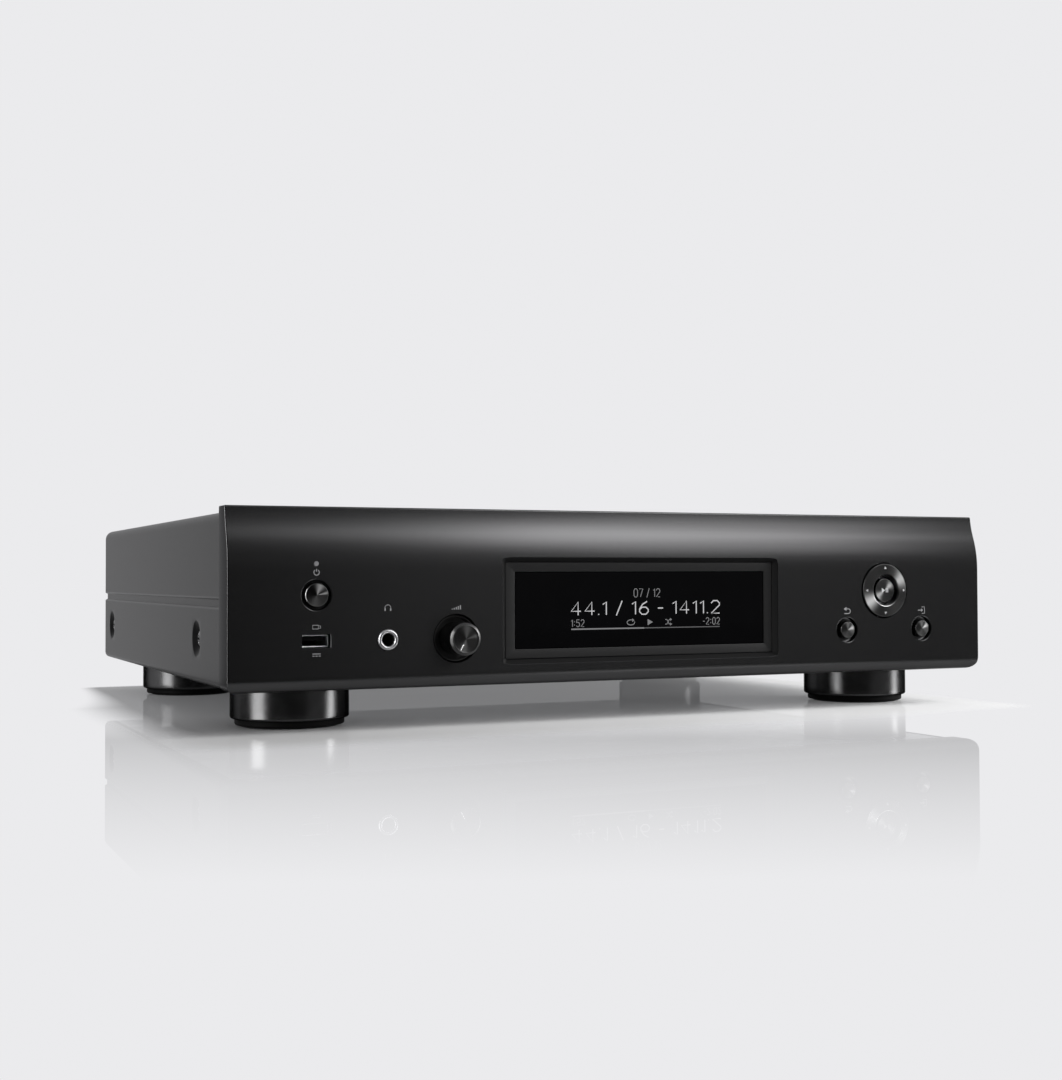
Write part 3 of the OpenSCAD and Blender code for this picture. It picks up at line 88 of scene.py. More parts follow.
def gridFaces(rows, cols, closeCols=False):
    # quads between neighbours of a grid that is numbered row by row
    r, c = np.meshgrid(np.arange(rows - 1), np.arange(cols if closeCols else cols - 1), indexing="ij")
    c2 = (c + 1) % cols
    return np.stack([r * cols + c, r * cols + c2, (r + 1) * cols + c2, (r + 1) * cols + c], -1).reshape(-1, 4)


def joinParts(parts):
    # stacks (points, faces) pairs into one pair
    shift = np.cumsum([0] + [len(points) for points, faces in parts[:-1]])
    return (np.concatenate([points for points, faces in parts]),
            np.concatenate([faces + step for (points, faces), step in zip(parts, shift)]))


def insideOut(points, faces):
    # a closed surface with a negative volume has its faces turned the wrong way
    a, b, c, d = (points[faces[:, k]] for k in range(4))
    return (np.cross(a, b) * c).sum() + (np.cross(a, c) * d).sum() < 0


def placeMesh(name, mesh, finish, body):
    mesh.materials.append(materials[finish])
    piece = bpy.data.objects.new(name, mesh)
    scene.collection.objects.link(piece)
    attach(piece, body)
    return piece


def addPiece(name, parts, finish, body="chassis", nodes=(), closed=True, sharp=32):
    points, faces = joinParts(parts)
    if closed and insideOut(points, faces):
        faces = faces[:, ::-1]
    mesh = bpy.data.meshes.new(name)
    mesh.from_pydata(((points + (0, frontY, 0)) * mm).tolist(), [], faces.tolist())
    work = bmesh.new()
    work.from_mesh(mesh)
    bmesh.ops.remove_doubles(work, verts=work.verts, dist=weld)
    bmesh.ops.dissolve_degenerate(work, edges=work.edges, dist=weld)
    work.to_mesh(mesh)
    work.free()
    mesh.shade_smooth()
    mesh.set_sharp_from_angle(angle=math.radians(sharp))
    piece = placeMesh(name, mesh, finish, body)
    if nodes:
        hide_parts(*nodes)
    return piece


def lathe(profile, centre, axis="y", turns=96):
    # a profile of (radius, place along the axis) turned a full circle about the axis
    radius, along = np.array(profile, float).T
    angle = np.linspace(0, 2 * np.pi, turns, endpoint=False)
    across, up = np.outer(radius, np.cos(angle)), np.outer(radius, np.sin(angle))
    run = np.repeat(along[:, None], turns, 1)
    order = (across, run, up) if axis == "y" else (across, up, run)
    points = np.stack(order, -1).reshape(-1, 3) + np.array(centre)
    return points, gridFaces(len(radius), turns, closeCols=True)


def arc(cx, cy, r, start, end, steps=6):
    # points on a circle from one angle to another, in degrees
    turn = np.radians(np.linspace(start, end, steps))
    return np.stack([cx + r * np.cos(turn), cy + r * np.sin(turn)], -1)


def grooves(r0, r1, y0, y1, pitch=0.3, depth=0.05, perGroove=6):
    # a turned face: a straight line of (radius, y) with sine grooves along it
    count = max(2, int(round(abs(r1 - r0) / pitch)) * perGroove + 1)
    t = np.linspace(0, 1, count)
    wave = depth * (1 - np.cos(2 * np.pi * (count - 1) / perGroove * t)) / 2
    return np.stack([r0 + (r1 - r0) * t, y0 + (y1 - y0) * t + wave], -1)


def roundRect(w, h, r, steps=6):
    # one loop of points round a rectangle with round corners, counter-clockwise from the right
    x, y = w / 2 - r, h / 2 - r
    corners = [(x, y, 0), (-x, y, 90), (-x, -y, 180), (x, -y, 270)]
    return np.concatenate([arc(cx, cy, r, start, start + 90, steps) for cx, cy, start in corners])


def grown(size, rows):
    # rows for a loft that all start from one size: each gives its growth of both sides, its corner and its y
    return [(size[0] + grow, size[1] + grow, corner, y) for grow, corner, y in rows]


def loft(rows, centre):
    # rounded rectangles (width, height, corner, y) stacked along y and joined by quads
    loops = [roundRect(w, h, r) for w, h, r, y in rows]
    points = [np.stack([loop[:, 0], np.full(len(loop), y), loop[:, 1]], -1)
              for loop, (w, h, r, y) in zip(loops, rows)]
    return np.concatenate(points) + np.array(centre), gridFaces(len(rows), len(loops[0]), closeCols=True)


def capRow(row, centre):
    # closes one rounded rectangle of a loft with quads from its edge to its middle
    w, h, r, y = row
    loop = roundRect(w, h, r)
    n = len(loop)
    x, z = np.concatenate([loop, np.zeros((n, 2))]).T
    return np.stack([x, np.full(2 * n, y), z], -1) + np.array(centre), gridFaces(2, n, closeCols=True)


def lineSet(low, high, coarse, fine, ranges):
    # grid lines: coarse over the whole, fine inside each range, with each range's ends on a line
    lines = np.linspace(low, high, int(np.ceil((high - low) / coarse)) + 1)
    clear = coarse * 0.3
    for a, b in ranges:
        lines = np.concatenate([lines[(lines < a - clear) | (lines > b + clear)],
                                np.linspace(a, b, int(np.ceil((b - a) / fine)) + 1)])
        lines.sort()
    return np.unique(np.concatenate([[low, high], lines]).round(6))


def holeOutline(hole, edge, grow):
    # maps points on a hole's box to its outline: a circle by angle, or a round-cornered rectangle by scale
    away = edge - hole["at"]
    if "r" in hole:
        turn = np.arctan2(away[:, 1], away[:, 0])
        return hole["at"] + (hole["r"] + grow) * np.stack([np.cos(turn), np.sin(turn)], -1)
    half = np.array(hole["half"]) + grow
    corner = hole["corner"] + grow
    spot = away / hole["reach"] * half
    core = np.clip(spot, corner - half, half - corner)
    out = spot - core
    length = np.linalg.norm(out, axis=1, keepdims=True)
    return hole["at"] + core + out * np.minimum(1, corner / np.maximum(length, tiny))


def holeSpan(hole, k):
    # the two sides of a hole's box, along u for 0 and along v for 1
    return hole["at"][k] - hole["reach"][k], hole["at"][k] + hole["reach"][k]


def punchedSheet(uLines, vLines, holes, surface):
    # a grid over (u, v): each hole leaves out the cells of its box, and rings of quads run from the box's
    # edge to the hole's outline and on down its wall; surface(u, v, depth) gives the place in space
    cols, rows = len(uLines), len(vLines)
    u, v = (part.ravel() for part in np.meshgrid(uLines, vLines))
    keep = np.ones((rows - 1, cols - 1), bool)
    points, faces, count = [surface(u, v, 0 * u)], [], rows * cols
    for hole in holes:
        u0, u1 = (int(np.argmin(np.abs(uLines - side))) for side in holeSpan(hole, 0))
        v0, v1 = (int(np.argmin(np.abs(vLines - side))) for side in holeSpan(hole, 1))
        keep[v0:v1, u0:u1] = False
        last = np.concatenate([v0 * cols + np.arange(u0, u1), np.arange(v0, v1) * cols + u1,
                               v1 * cols + np.arange(u1, u0, -1), np.arange(v1, v0, -1) * cols + u0])
        edge, n = np.stack([u[last], v[last]], -1), len(last)
        for grow, depth in hole["wall"]:
            spot = holeOutline(hole, edge, grow)
            points.append(surface(spot[:, 0], spot[:, 1], np.full(n, float(depth))))
            new = count + np.arange(n)
            count += n
            faces.append(np.stack([last, np.roll(last, -1), np.roll(new, -1), new], -1))
            last = new
    faces.append(gridFaces(rows, cols)[keep.ravel()])
    return np.concatenate(points), np.concatenate(faces)


# shader expressions

class Sock:
    # wraps an output socket, so that sums and products of masks read as plain expressions
    def __init__(self, tree, out=None):
        self.tree, self.out = tree, out

    def node(self, kind, settings=None, links=None, output=0):
        made = self.tree.nodes.new(kind)
        for key, value in (settings or {}).items():
            setattr(made, key, value)
        for key, value in (links or {}).items():
            if isinstance(value, Sock):
                self.tree.links.new(value.out, made.inputs[key])
            else:
                made.inputs[key].default_value = value
        return Sock(self.tree, made.outputs[output]) if made.outputs else None

    def maths(self, operation, *values, clamp=False):
        settings = {"operation": operation, "use_clamp": clamp}
        return self.node("ShaderNodeMath", settings, dict(enumerate(values)))

    def __add__(self, other):
        return self.maths("ADD", self, other)

    def __radd__(self, other):
        return self.maths("ADD", other, self)

    def __sub__(self, other):
        return self.maths("SUBTRACT", self, other)

    def __rsub__(self, other):
        return self.maths("SUBTRACT", other, self)

    def __mul__(self, other):
        return self.maths("MULTIPLY", self, other)

    def __rmul__(self, other):
        return self.maths("MULTIPLY", other, self)

    def __truediv__(self, other):
        return self.maths("DIVIDE", self, other)

    def __rtruediv__(self, other):
        return self.maths("DIVIDE", other, self)


def newMaterial(name):
    material = bpy.data.materials.new(name)
    material.use_nodes = True
    material.node_tree.nodes.clear()
    return material, Sock(material.node_tree)


def vector(sock, operation, *values, output="Vector"):
    return sock.node("ShaderNodeVectorMath", {"operation": operation}, dict(enumerate(values)), output)


def axisPart(sock, point, axis):
    return sock.node("ShaderNodeSeparateXYZ", {}, {0: point}, output=axis)


def ramp(sock, value, start, end, low=0.0, high=1.0, smooth=False):
    # runs from low to high while the input goes from start to end, and holds beyond them
    return sock.node("ShaderNodeMapRange", {"interpolation_type": "SMOOTHSTEP" if smooth else "LINEAR"},
                     {"Value": value, "From Min": start, "From Max": end, "To Min": low, "To Max": high})


def spread(sock, value, low, high):
    # noise sits near a half, so this stretches it over the whole range between two values
    return ramp(sock, value, 0.3, 0.7, low, high)


def objectPlace(sock):
    return sock.node("ShaderNodeTexCoord", output="Object")


def objectPoint(sock, stretch=(1, 1, 1)):
    # object coordinates in millimetres, squeezed along each axis
    return vector(sock, "MULTIPLY", objectPlace(sock), tuple(1 / mm * s for s in stretch))


def noise(sock, point, scale, detail=2.0):
    return sock.node("ShaderNodeTexNoise", {}, {"Vector": point, "Scale": scale, "Detail": detail})


def mixColour(sock, factor, a, b):
    # sockets 6 and 7 and output 2 are the colour ones of this node
    ends = [end if isinstance(end, Sock) else (*end, 1) for end in (a, b)]
    return sock.node("ShaderNodeMix", {"data_type": "RGBA"}, {0: factor, 6: ends[0], 7: ends[1]}, output=2)


def mixGrey(sock, factor, low, high):
    return mixColour(sock, factor, [low] * 3, [high] * 3)


def mixShader(sock, factor, a, b):
    return sock.node("ShaderNodeMixShader", {}, {0: factor, 1: a, 2: b})


def rayKind(sock, kind):
    return sock.node("ShaderNodeLightPath", output=kind)


def showSurface(sock, shader):
    sock.node("ShaderNodeOutputMaterial", {}, {"Surface": shader})


plainFinish = {"stretch": (1, 1, 1), "patch": 0.06, "grain": 1.5, "vary": 0.12, "roughVary": 0.05,
               "metal": 0.0, "bumpStrength": 0.6}
shaderKeys = ("Specular IOR Level", "Specular Tint", "Anisotropic", "Anisotropic Rotation")


def finishMaterial(name, given):
    # colour and roughness drift over patches, fine grain in the bump, fixed numbers straight on the shader
    look = {**plainFinish, **given}
    material, sock = newMaterial(name)
    point = objectPoint(sock, look["stretch"])
    patch, grain = noise(sock, point, look["patch"], 3), noise(sock, point, look["grain"])
    base, vary = np.array(look["base"]), look["vary"]
    tone = spread(sock, patch * 0.5 + grain * 0.5, 0.0, 1.0)
    colour = mixColour(sock, tone, base * (1 - vary), base * (1 + vary))
    if "rub" in look:  # painted highlight: paler colour along the two edges of the side groove, standing in for the light they catch
        rub = look["rub"]
        off = sock.maths("ABSOLUTE", axisPart(sock, point, "Z") - rub["middle"]) - rub["away"]
        edge = ramp(sock, sock.maths("ABSOLUTE", off), rub["core"], rub["width"], 1.0, 0.0)
        colour = mixColour(sock, edge, colour, rub["colour"])
    rough = spread(sock, grain, look["rough"] - look["roughVary"], look["rough"] + look["roughVary"])
    links = {"Base Color": colour, "Roughness": rough, "Metallic": look["metal"]}
    links.update({key: look[key] for key in shaderKeys if key in look})
    if "emit" in look:
        links.update({"Emission Color": (*look["emit"], 1), "Emission Strength": 1.0})
    if "bump" in look:
        links["Normal"] = sock.node("ShaderNodeBump", {}, {"Height": grain, "Distance": look["bump"] * mm,
                                                           "Strength": look["bumpStrength"]})
    showSurface(sock, sock.node("ShaderNodeBsdfPrincipled", {}, links))
    return material


finishes = {
    "panelBlack": {"base": (0.055, 0.055, 0.056), "rough": 0.25, "metal": 1.0, "stretch": (0.012, 1, 1),
                   "grain": 5.0, "patch": 0.9, "vary": 0.04, "roughVary": 0.008, "Anisotropic": 0.5,
                   "Anisotropic Rotation": 0.25, "Specular Tint": (0.48, 0.48, 0.48, 1)},
    "coverPaint": {"base": (0.009, 0.009, 0.0093), "rough": 0.32, "grain": 3.2, "bump": 0.02,
                   "Specular IOR Level": 0.045,
                   # painted highlight along both edges of the side groove
                   "rub": {"middle": 61.6, "away": 2.5, "core": 0.1, "width": 0.7,
                           "colour": (0.07, 0.07, 0.071)}},
    "footGloss": {"base": (0.085, 0.085, 0.086), "rough": 0.25, "metal": 1.0, "grain": 0.2, "vary": 0.1,
                  "roughVary": 0.02, "Specular Tint": (0.15, 0.15, 0.15, 1)},
    "padRubber": {"base": (0.012, 0.012, 0.012), "rough": 0.85, "grain": 2.0, "bump": 0.05},
    "buttonMetal": {"base": (0.14, 0.14, 0.143), "rough": 0.26, "metal": 1.0, "grain": 3.0, "vary": 0.1},
    "ringMetal": {"base": (0.12, 0.12, 0.123), "rough": 0.26, "metal": 1.0, "grain": 3.0, "vary": 0.1},
    "knobMetal": {"base": (0.12, 0.12, 0.123), "rough": 0.28, "metal": 1.0, "grain": 3.0, "vary": 0.1},
    "jackChrome": {"base": (0.4, 0.4, 0.41), "rough": 0.34, "metal": 1.0, "grain": 0.6, "vary": 0.04,
                   "roughVary": 0.03},
    "wellBlack": {"base": (0.006, 0.006, 0.006), "rough": 0.6, "grain": 2.0, "bump": 0.01,
                  "Specular IOR Level": 0.2},
    "innerPlastic": {"base": (0.012, 0.012, 0.0125), "rough": 0.55, "grain": 2.2, "bump": 0.02},
    "displayTrim": {"base": (0.006, 0.006, 0.0062), "rough": 0.42, "grain": 2.6, "bump": 0.006, "vary": 0.1,
                    "Specular IOR Level": 0.22},
    # painted shade: a near-black colour, darker than the panel, stands for the shade on the display opening's
    # bevel wall
    "bevelPaintedShade": {"base": (0.004, 0.004, 0.0041), "rough": 0.5, "grain": 2.6, "bump": 0.006,
                   "Specular IOR Level": 0.075},
    "screenGlow": {"base": (0.01, 0.01, 0.01), "rough": 0.5, "emit": (0.5, 0.5, 0.51)},
    "screenSoft": {"base": (0.01, 0.01, 0.01), "rough": 0.5, "emit": (0.15, 0.15, 0.154)},
    "screenDim": {"base": (0.01, 0.01, 0.01), "rough": 0.5, "emit": (0.05, 0.05, 0.052)},
    "recessBlack": {"base": (0.004, 0.004, 0.004), "rough": 0.6, "grain": 2.0, "Specular IOR Level": 0.06},
    "pointerPale": {"base": (0.75, 0.75, 0.75), "rough": 0.3, "metal": 1.0, "grain": 3.0, "vary": 0.05},
    "displayBlack": {"base": (0.0016, 0.0016, 0.0018), "rough": 0.06, "grain": 0.1, "vary": 0.1,
                     "roughVary": 0.015, "Specular IOR Level": 0.07},
    "lensClear": {"base": (0.16, 0.16, 0.165), "rough": 0.25, "grain": 1.0, "vary": 0.05},
    "printWhite": {"base": (0.5, 0.5, 0.51), "rough": 0.6, "grain": 6.0, "vary": 0.08},
    "insertWhite": {"base": (0.72, 0.71, 0.67), "rough": 0.42, "grain": 2.0, "bump": 0.006, "vary": 0.05},
    "insertRed": {"base": (0.42, 0.018, 0.016), "rough": 0.42, "grain": 2.0, "bump": 0.006, "vary": 0.08},
    "printGrey": {"base": (0.18, 0.18, 0.184), "rough": 0.6, "grain": 6.0, "vary": 0.08},
    "markPale": {"base": (0.38, 0.38, 0.385), "rough": 0.6, "grain": 6.0, "vary": 0.06},
    "usbSteel": {"base": (0.85, 0.85, 0.86), "rough": 0.34, "metal": 1.0, "grain": 1.4, "vary": 0.06,
                 "stretch": (1, 0.1, 1)},
    "socketSteel": {"base": (0.5, 0.5, 0.51), "rough": 0.36, "metal": 1.0, "grain": 1.4, "vary": 0.08,
                    "stretch": (1, 0.1, 1)},
    "rearPaint": {"base": (0.018, 0.018, 0.019), "rough": 0.5, "grain": 3.0, "bump": 0.02},
    "blackScrew": {"base": (0.11, 0.11, 0.112), "rough": 0.28, "metal": 1.0, "grain": 2.0, "vary": 0.15},
    "zincScrew": {"base": (0.52, 0.52, 0.5), "rough": 0.35, "metal": 1.0, "grain": 2.0},
    "baseSteel": {"base": (0.36, 0.37, 0.38), "rough": 0.42, "metal": 1.0, "grain": 0.12, "vary": 0.16,
                  "roughVary": 0.1},
    "boardGreen": {"base": (0.015, 0.085, 0.035), "rough": 0.4, "grain": 0.5, "vary": 0.2},
    "greyParts": {"base": (0.11, 0.11, 0.115), "rough": 0.5, "grain": 2.0, "bump": 0.01},
    "coreIron": {"base": (0.10, 0.10, 0.105), "rough": 0.45, "grain": 2.0, "vary": 0.3,
                 "stretch": (0.05, 1, 0.05)},
    "windingTape": {"base": (0.42, 0.25, 0.04), "rough": 0.4, "grain": 1.0, "vary": 0.15,
                    "stretch": (1, 0.1, 1)},
    "capacitorSleeve": {"base": (0.02, 0.03, 0.06), "rough": 0.35, "grain": 1.0, "vary": 0.15},
    "sinkAluminium": {"base": (0.30, 0.30, 0.31), "rough": 0.4, "metal": 1.0, "grain": 2.0,
                      "stretch": (1, 1, 0.05)},
    "giltBrass": {"base": (0.72, 0.50, 0.17), "rough": 0.22, "metal": 1.0, "grain": 1.2, "vary": 0.08},
    "cablePale": {"base": (0.6, 0.58, 0.5), "rough": 0.5, "grain": 1.0, "vary": 0.2,
                  "stretch": (1, 0.02, 0.02)},
    "leadRubber": {"base": (0.02, 0.02, 0.02), "rough": 0.5, "bump": 0.01},
    "shaftSteel": {"base": (0.45, 0.45, 0.46), "rough": 0.28, "metal": 1.0, "grain": 2.0,
                   "stretch": (1, 0.1, 1)},
}
materials = {name: finishMaterial(name, look) for name, look in finishes.items()}

slotFinish = {"panel_black": "panelBlack", "inner_plastic": "innerPlastic", "zinc_screw": "zincScrew",
              "black_screw": "blackScrew", "display_trim": "displayTrim", "display_black": "displayBlack",
              "circuit_board": "boardGreen", "lens": "lensClear", "socket_steel": "socketSteel",
              "jack_chrome": "jackChrome", "grey_parts": "greyParts", "base_steel": "baseSteel",
              "rear_paint": "rearPaint", "cover_paint": "coverPaint", "foot_gloss": "footGloss",
              "pad_rubber": "padRubber", "core_iron": "coreIron", "winding_copper": "windingTape",
              "capacitor_sleeve": "capacitorSleeve", "sink_aluminium": "sinkAluminium",
              "brass_parts": "giltBrass", "cable_pale": "cablePale", "lead_rubber": "leadRubber",
              "button_metal": "buttonMetal", "ring_metal": "ringMetal", "knob_metal": "knobMetal",
              "shaft_steel": "shaftSteel"}
for part in frame["record"]["subparts"]:
    mesh = frame["nodes"][part["node"]].data
    mesh.materials.clear()
    mesh.materials.append(materials[slotFinish[part["material_slot"]]])
frame["nodes"]["mains_blades"].data.materials[0] = materials["socketSteel"]  # plated pins
print("materials:", len(materials))


# camera, solved from the photograph on a 1062 x 1080 frame

camera = {"focal": 1507.9, "imageHeight": 1080,  # pixels
          "place": (-376.67, -680.85, 73.26),  # millimetres, with y from the front plane
          "yaw": 24.595, "pitch": 1.415, "roll": -0.0036,  # degrees, degrees and radians
          "sensor": 36, "clip": 0.01}
yaw, pitch = math.radians(camera["yaw"]), math.radians(camera["pitch"])
ahead = np.array([math.sin(yaw) * math.cos(pitch), math.cos(yaw) * math.cos(pitch), math.sin(pitch)])
across = np.array([math.cos(yaw), -math.sin(yaw), 0])
up = np.cross(across, ahead)
cosRoll, sinRoll = math.cos(camera["roll"]), math.sin(camera["roll"])
eyePlace = (np.array(camera["place"]) + (0, frontY, 0)) * mm
eyeMatrix = np.eye(4)
eyeMatrix[:3, 0] = cosRoll * across + sinRoll * up
eyeMatrix[:3, 1] = cosRoll * up - sinRoll * across
eyeMatrix[:3, 2] = -ahead
eyeMatrix[:3, 3] = eyePlace
lens = bpy.data.cameras.new("camera")
lens.sensor_fit, lens.sensor_height = "VERTICAL", camera["sensor"]
lens.lens = camera["sensor"] * camera["focal"] / camera["imageHeight"]
lens.clip_start = camera["clip"]
eye = bpy.data.objects.new("camera", lens)
scene.collection.objects.link(eye)
eye.matrix_world = Matrix(eyeMatrix.tolist())
scene.camera = eye


# floor, world and lamps; lengths in metres, but the mirror's distances from the eye in millimetres

stage = {"grey": 0.83, "cool": (1, 1, 1.019, 1), "worldLight": 0.35, "floorTone": 0.78, "floorVary": 0.005,
         "floorGrain": 40, "size": 30.0, "mirror": 0.37, "mirrorNear": 678, "mirrorFar": 365,
         "under": (690, 800), "underMirror": 0.12, "underGlow": 0.1,
         "shadowReach": 0.045, "taperFrom": 0.2, "taper": 12, "taperRight": 1.0, "taperSpan": (0.1, 0.25)}


def makeWorld():
    world = bpy.data.worlds.new("studio")
    scene.world = world
    world.use_nodes = True
    world.node_tree.nodes.clear()
    sock = Sock(world.node_tree)
    seen = rayKind(sock, "Is Camera Ray") + rayKind(sock, "Is Glossy Ray")
    direct = sock.maths("ADD", seen, rayKind(sock, "Is Transmission Ray"), clamp=True)
    strength = stage["worldLight"] + direct * (stage["grey"] - stage["worldLight"])
    light = sock.node("ShaderNodeBackground", {}, {"Color": stage["cool"], "Strength": strength})
    sock.node("ShaderNodeOutputWorld", {}, {"Surface": light})


def addStage(name, points, faces, material):
    mesh = bpy.data.meshes.new(name)
    mesh.from_pydata(points, [], faces)
    mesh.materials.append(material)
    thing = bpy.data.objects.new(name, mesh)
    scene.collection.objects.link(thing)
    return thing


def makeFloor():
    # lit floor under and beside the case, plain background grey further out; a mirror part fades towards
    # the viewer
    material, sock = newMaterial("paleFloor")
    place = objectPlace(sock)
    corner = tuple(max(abs(cadBox[0][k]), cadBox[1][k]) for k in range(2)) + (0,)
    past = vector(sock, "SUBTRACT", vector(sock, "ABSOLUTE", place), corner)
    far = vector(sock, "LENGTH", vector(sock, "MAXIMUM", past, (0, 0, 0)), output="Value")
    rearward = axisPart(sock, place, "Y") - (frontY * mm + stage["taperFrom"])
    rearward = sock.maths("MAXIMUM", rearward, 0.0) * stage["taper"]
    rightward = axisPart(sock, place, "X")
    rightward = ramp(sock, rightward, *stage["taperSpan"], high=stage["taperRight"], smooth=True)
    far = far * (1 + rearward) * (1 + rightward)  # the lit part is narrower at the rear and right
    plain = ramp(sock, far, 0.0, stage["shadowReach"], smooth=True)
    eyeLine = tuple(ahead * (1, 1, 0) / np.linalg.norm(ahead[:2]))
    depth = vector(sock, "DOT_PRODUCT", place, eyeLine, output="Value") - float(np.dot(eyePlace, eyeLine))
    shine = ramp(sock, depth, stage["mirrorFar"] * mm, stage["mirrorNear"] * mm, high=stage["mirror"])
    under = ramp(sock, depth, *(edge * mm for edge in stage["under"]))
    shine = shine - under * (stage["mirror"] - stage["underMirror"])
    shine = shine * rayKind(sock, "Is Camera Ray")
    plain = sock.maths("MAXIMUM", plain, under * stage["underGlow"])
    tone, vary = stage["floorTone"], stage["floorVary"]
    colour = mixGrey(sock, noise(sock, place, stage["floorGrain"]), tone * (1 - vary), tone * (1 + vary))
    matt = sock.node("ShaderNodeBsdfDiffuse", {}, {"Color": colour})
    mirror = sock.node("ShaderNodeBsdfGlossy", {}, {"Color": (1, 1, 1, 1), "Roughness": 0.0})
    glow = sock.node("ShaderNodeEmission", {}, {"Color": stage["cool"], "Strength": stage["grey"]})
    showSurface(sock, mixShader(sock, shine, mixShader(sock, plain, matt, glow), mirror))
    half = stage["size"] / 2
    corners = [(-half, -half, 0), (half, -half, 0), (half, half, 0), (-half, half, 0)]
    addStage("floor", corners, [(0, 1, 2, 3)], material)


def hiddenSide(sock):
    # the rear of a sheet, and all of it in the floor's mirror
    behind = sock.node("ShaderNodeNewGeometry", output="Backfacing")
    return sock.maths("MAXIMUM", behind, rayKind(sock, "Is Singular Ray"))


card = {"near": 0.03, "rear": 0.15, "rearLeft": 0.27, "far": 1.2, "top": 1.7, "right": 2.1, "left": -2.1,
        "wing": 1.2, "lift": 0.003, "standing": 0.004, "mirror": (0.5, 0.5, 0.5, 1), "rough": 0.1,
        "grazing": 0.7, "dark": 0.002, "light": 0.205, "ramp": (0.22, 0.43)}


def makeCard():
    # a dark studio seen only in reflections: a black mirror on the floor round the front half of the case,
    # which goes on under the case for grazing rays alone, and a standing card further out, whose tone rises
    # along the sight lines that the flat face mirrors
    material, sock = newMaterial("darkCard")
    x, y, z = (axisPart(sock, objectPlace(sock), axis) for axis in "XYZ")
    sight = (x - camera["place"][0] * mm) / ((frontY - camera["place"][1]) * mm - y)
    rise = ramp(sock, sight, *card["ramp"], smooth=True)
    glow = sock.node("ShaderNodeEmission", {}, {"Color": mixGrey(sock, rise, card["dark"], card["light"])})
    mirror = sock.node("ShaderNodeBsdfGlossy", {}, {"Color": card["mirror"], "Roughness": card["rough"]})
    front = mixShader(sock, sock.maths("GREATER_THAN", z, card["standing"]), mirror, glow)
    near, far, rear, rearLeft = (frontY * mm + away for away in (
        -card["near"], -card["far"], card["rear"], card["rearLeft"]))
    side = cadBox[1][0] + card["near"]
    below = sock.maths("MINIMUM", y - near, side - sock.maths("ABSOLUTE", x))
    facing = sock.node("ShaderNodeLayerWeight", {}, {"Blend": 0.5}, output="Facing")
    steep = sock.maths("LESS_THAN", facing, card["grazing"])
    hidden = sock.maths("MAXIMUM", hiddenSide(sock), sock.maths("GREATER_THAN", below, 0.0) * steep)
    showSurface(sock, mixShader(sock, hidden, front, sock.node("ShaderNodeBsdfTransparent")))
    left, right, top, low, wing = card["left"], card["right"], card["top"], card["lift"], card["wing"]
    points = [(left, far, low), (right, far, low), (right, near, low), (left, near, low),
              (left, far, top), (right, far, top), (left, rearLeft, low), (-side, rearLeft, low),
              (-side, near, low), (side, near, low), (side, rear, low), (right, rear, low),
              (left, wing, low), (left, wing, top), (right, wing, low), (right, wing, top)]
    floorFaces = [(0, 1, 2, 9, 8, 3), (3, 8, 7, 6), (9, 2, 11, 10), (8, 9, 10, 7)]
    standingFaces = [(0, 4, 5, 1), (12, 13, 4, 0), (1, 5, 15, 14)]
    sheet = addStage("darkCard", points, floorFaces + standingFaces, material)
    sheet.visible_camera = sheet.visible_diffuse = sheet.visible_shadow = sheet.visible_transmission = False


lampHeight = 0.09  # height of the point that the lamps face
lamps = {  # bearing is from straight ahead of the panel, with right positive, and rise is the height angle
    "topStrip": {"bearing": 40.5, "rise": 40, "distance": 1.35, "size": (0.6, 0.46), "radiance": 7.8},
    "topWide": {"bearing": 34, "rise": 40, "distance": 1.45, "size": (2.1, 0.4), "radiance": 1.9},
    "lowWide": {"bearing": 27, "rise": 25, "distance": 1.45, "size": (0.95, 0.36), "radiance": 3.6},
    "leftSoft": {"bearing": -81, "rise": 18, "distance": 1.6, "size": (0.66, 1.1), "radiance": 13,
                 "diffuse": False},
    "rightSoft": {"bearing": 70, "rise": 18, "distance": 1.6, "size": (0.42, 1.1), "radiance": 18.5}}


def makeLamps():
    # each lamp is a glowing sheet on a sphere round the panel's middle and faces it
    middle = np.array([0, frontY * mm, lampHeight])
    for name, lamp in lamps.items():
        bearing, rise = math.radians(lamp["bearing"]), math.radians(lamp["rise"])
        level = np.array([math.sin(bearing), -math.cos(bearing), 0])
        away = level * math.cos(rise) + np.array([0, 0, math.sin(rise)])
        side = np.cross((0, 0, 1), away)
        side *= lamp["size"][0] / 2 / np.linalg.norm(side)
        tall = np.cross(away, side) * lamp["size"][1] / lamp["size"][0]
        material, sock = newMaterial(name)
        glow = sock.node("ShaderNodeEmission", {}, {"Color": (1, 1, 1, 1), "Strength": lamp["radiance"]})
        showSurface(sock, mixShader(sock, hiddenSide(sock), glow, sock.node("ShaderNodeBsdfTransparent")))
        place = middle + away * lamp["distance"]
        corners = [place - side - tall, place - side + tall, place + side + tall, place + side - tall]
        sheet = addStage(name, corners, [(0, 1, 2, 3)], material)
        sheet.visible_camera = sheet.visible_shadow = sheet.visible_transmission = False
        sheet.visible_diffuse = lamp.get("diffuse", True)


makeWorld()
makeFloor()
makeCard()
makeLamps()
print("stage, camera and lamps ready")


# front panel: ogee section carried along the width, with every opening punched into it

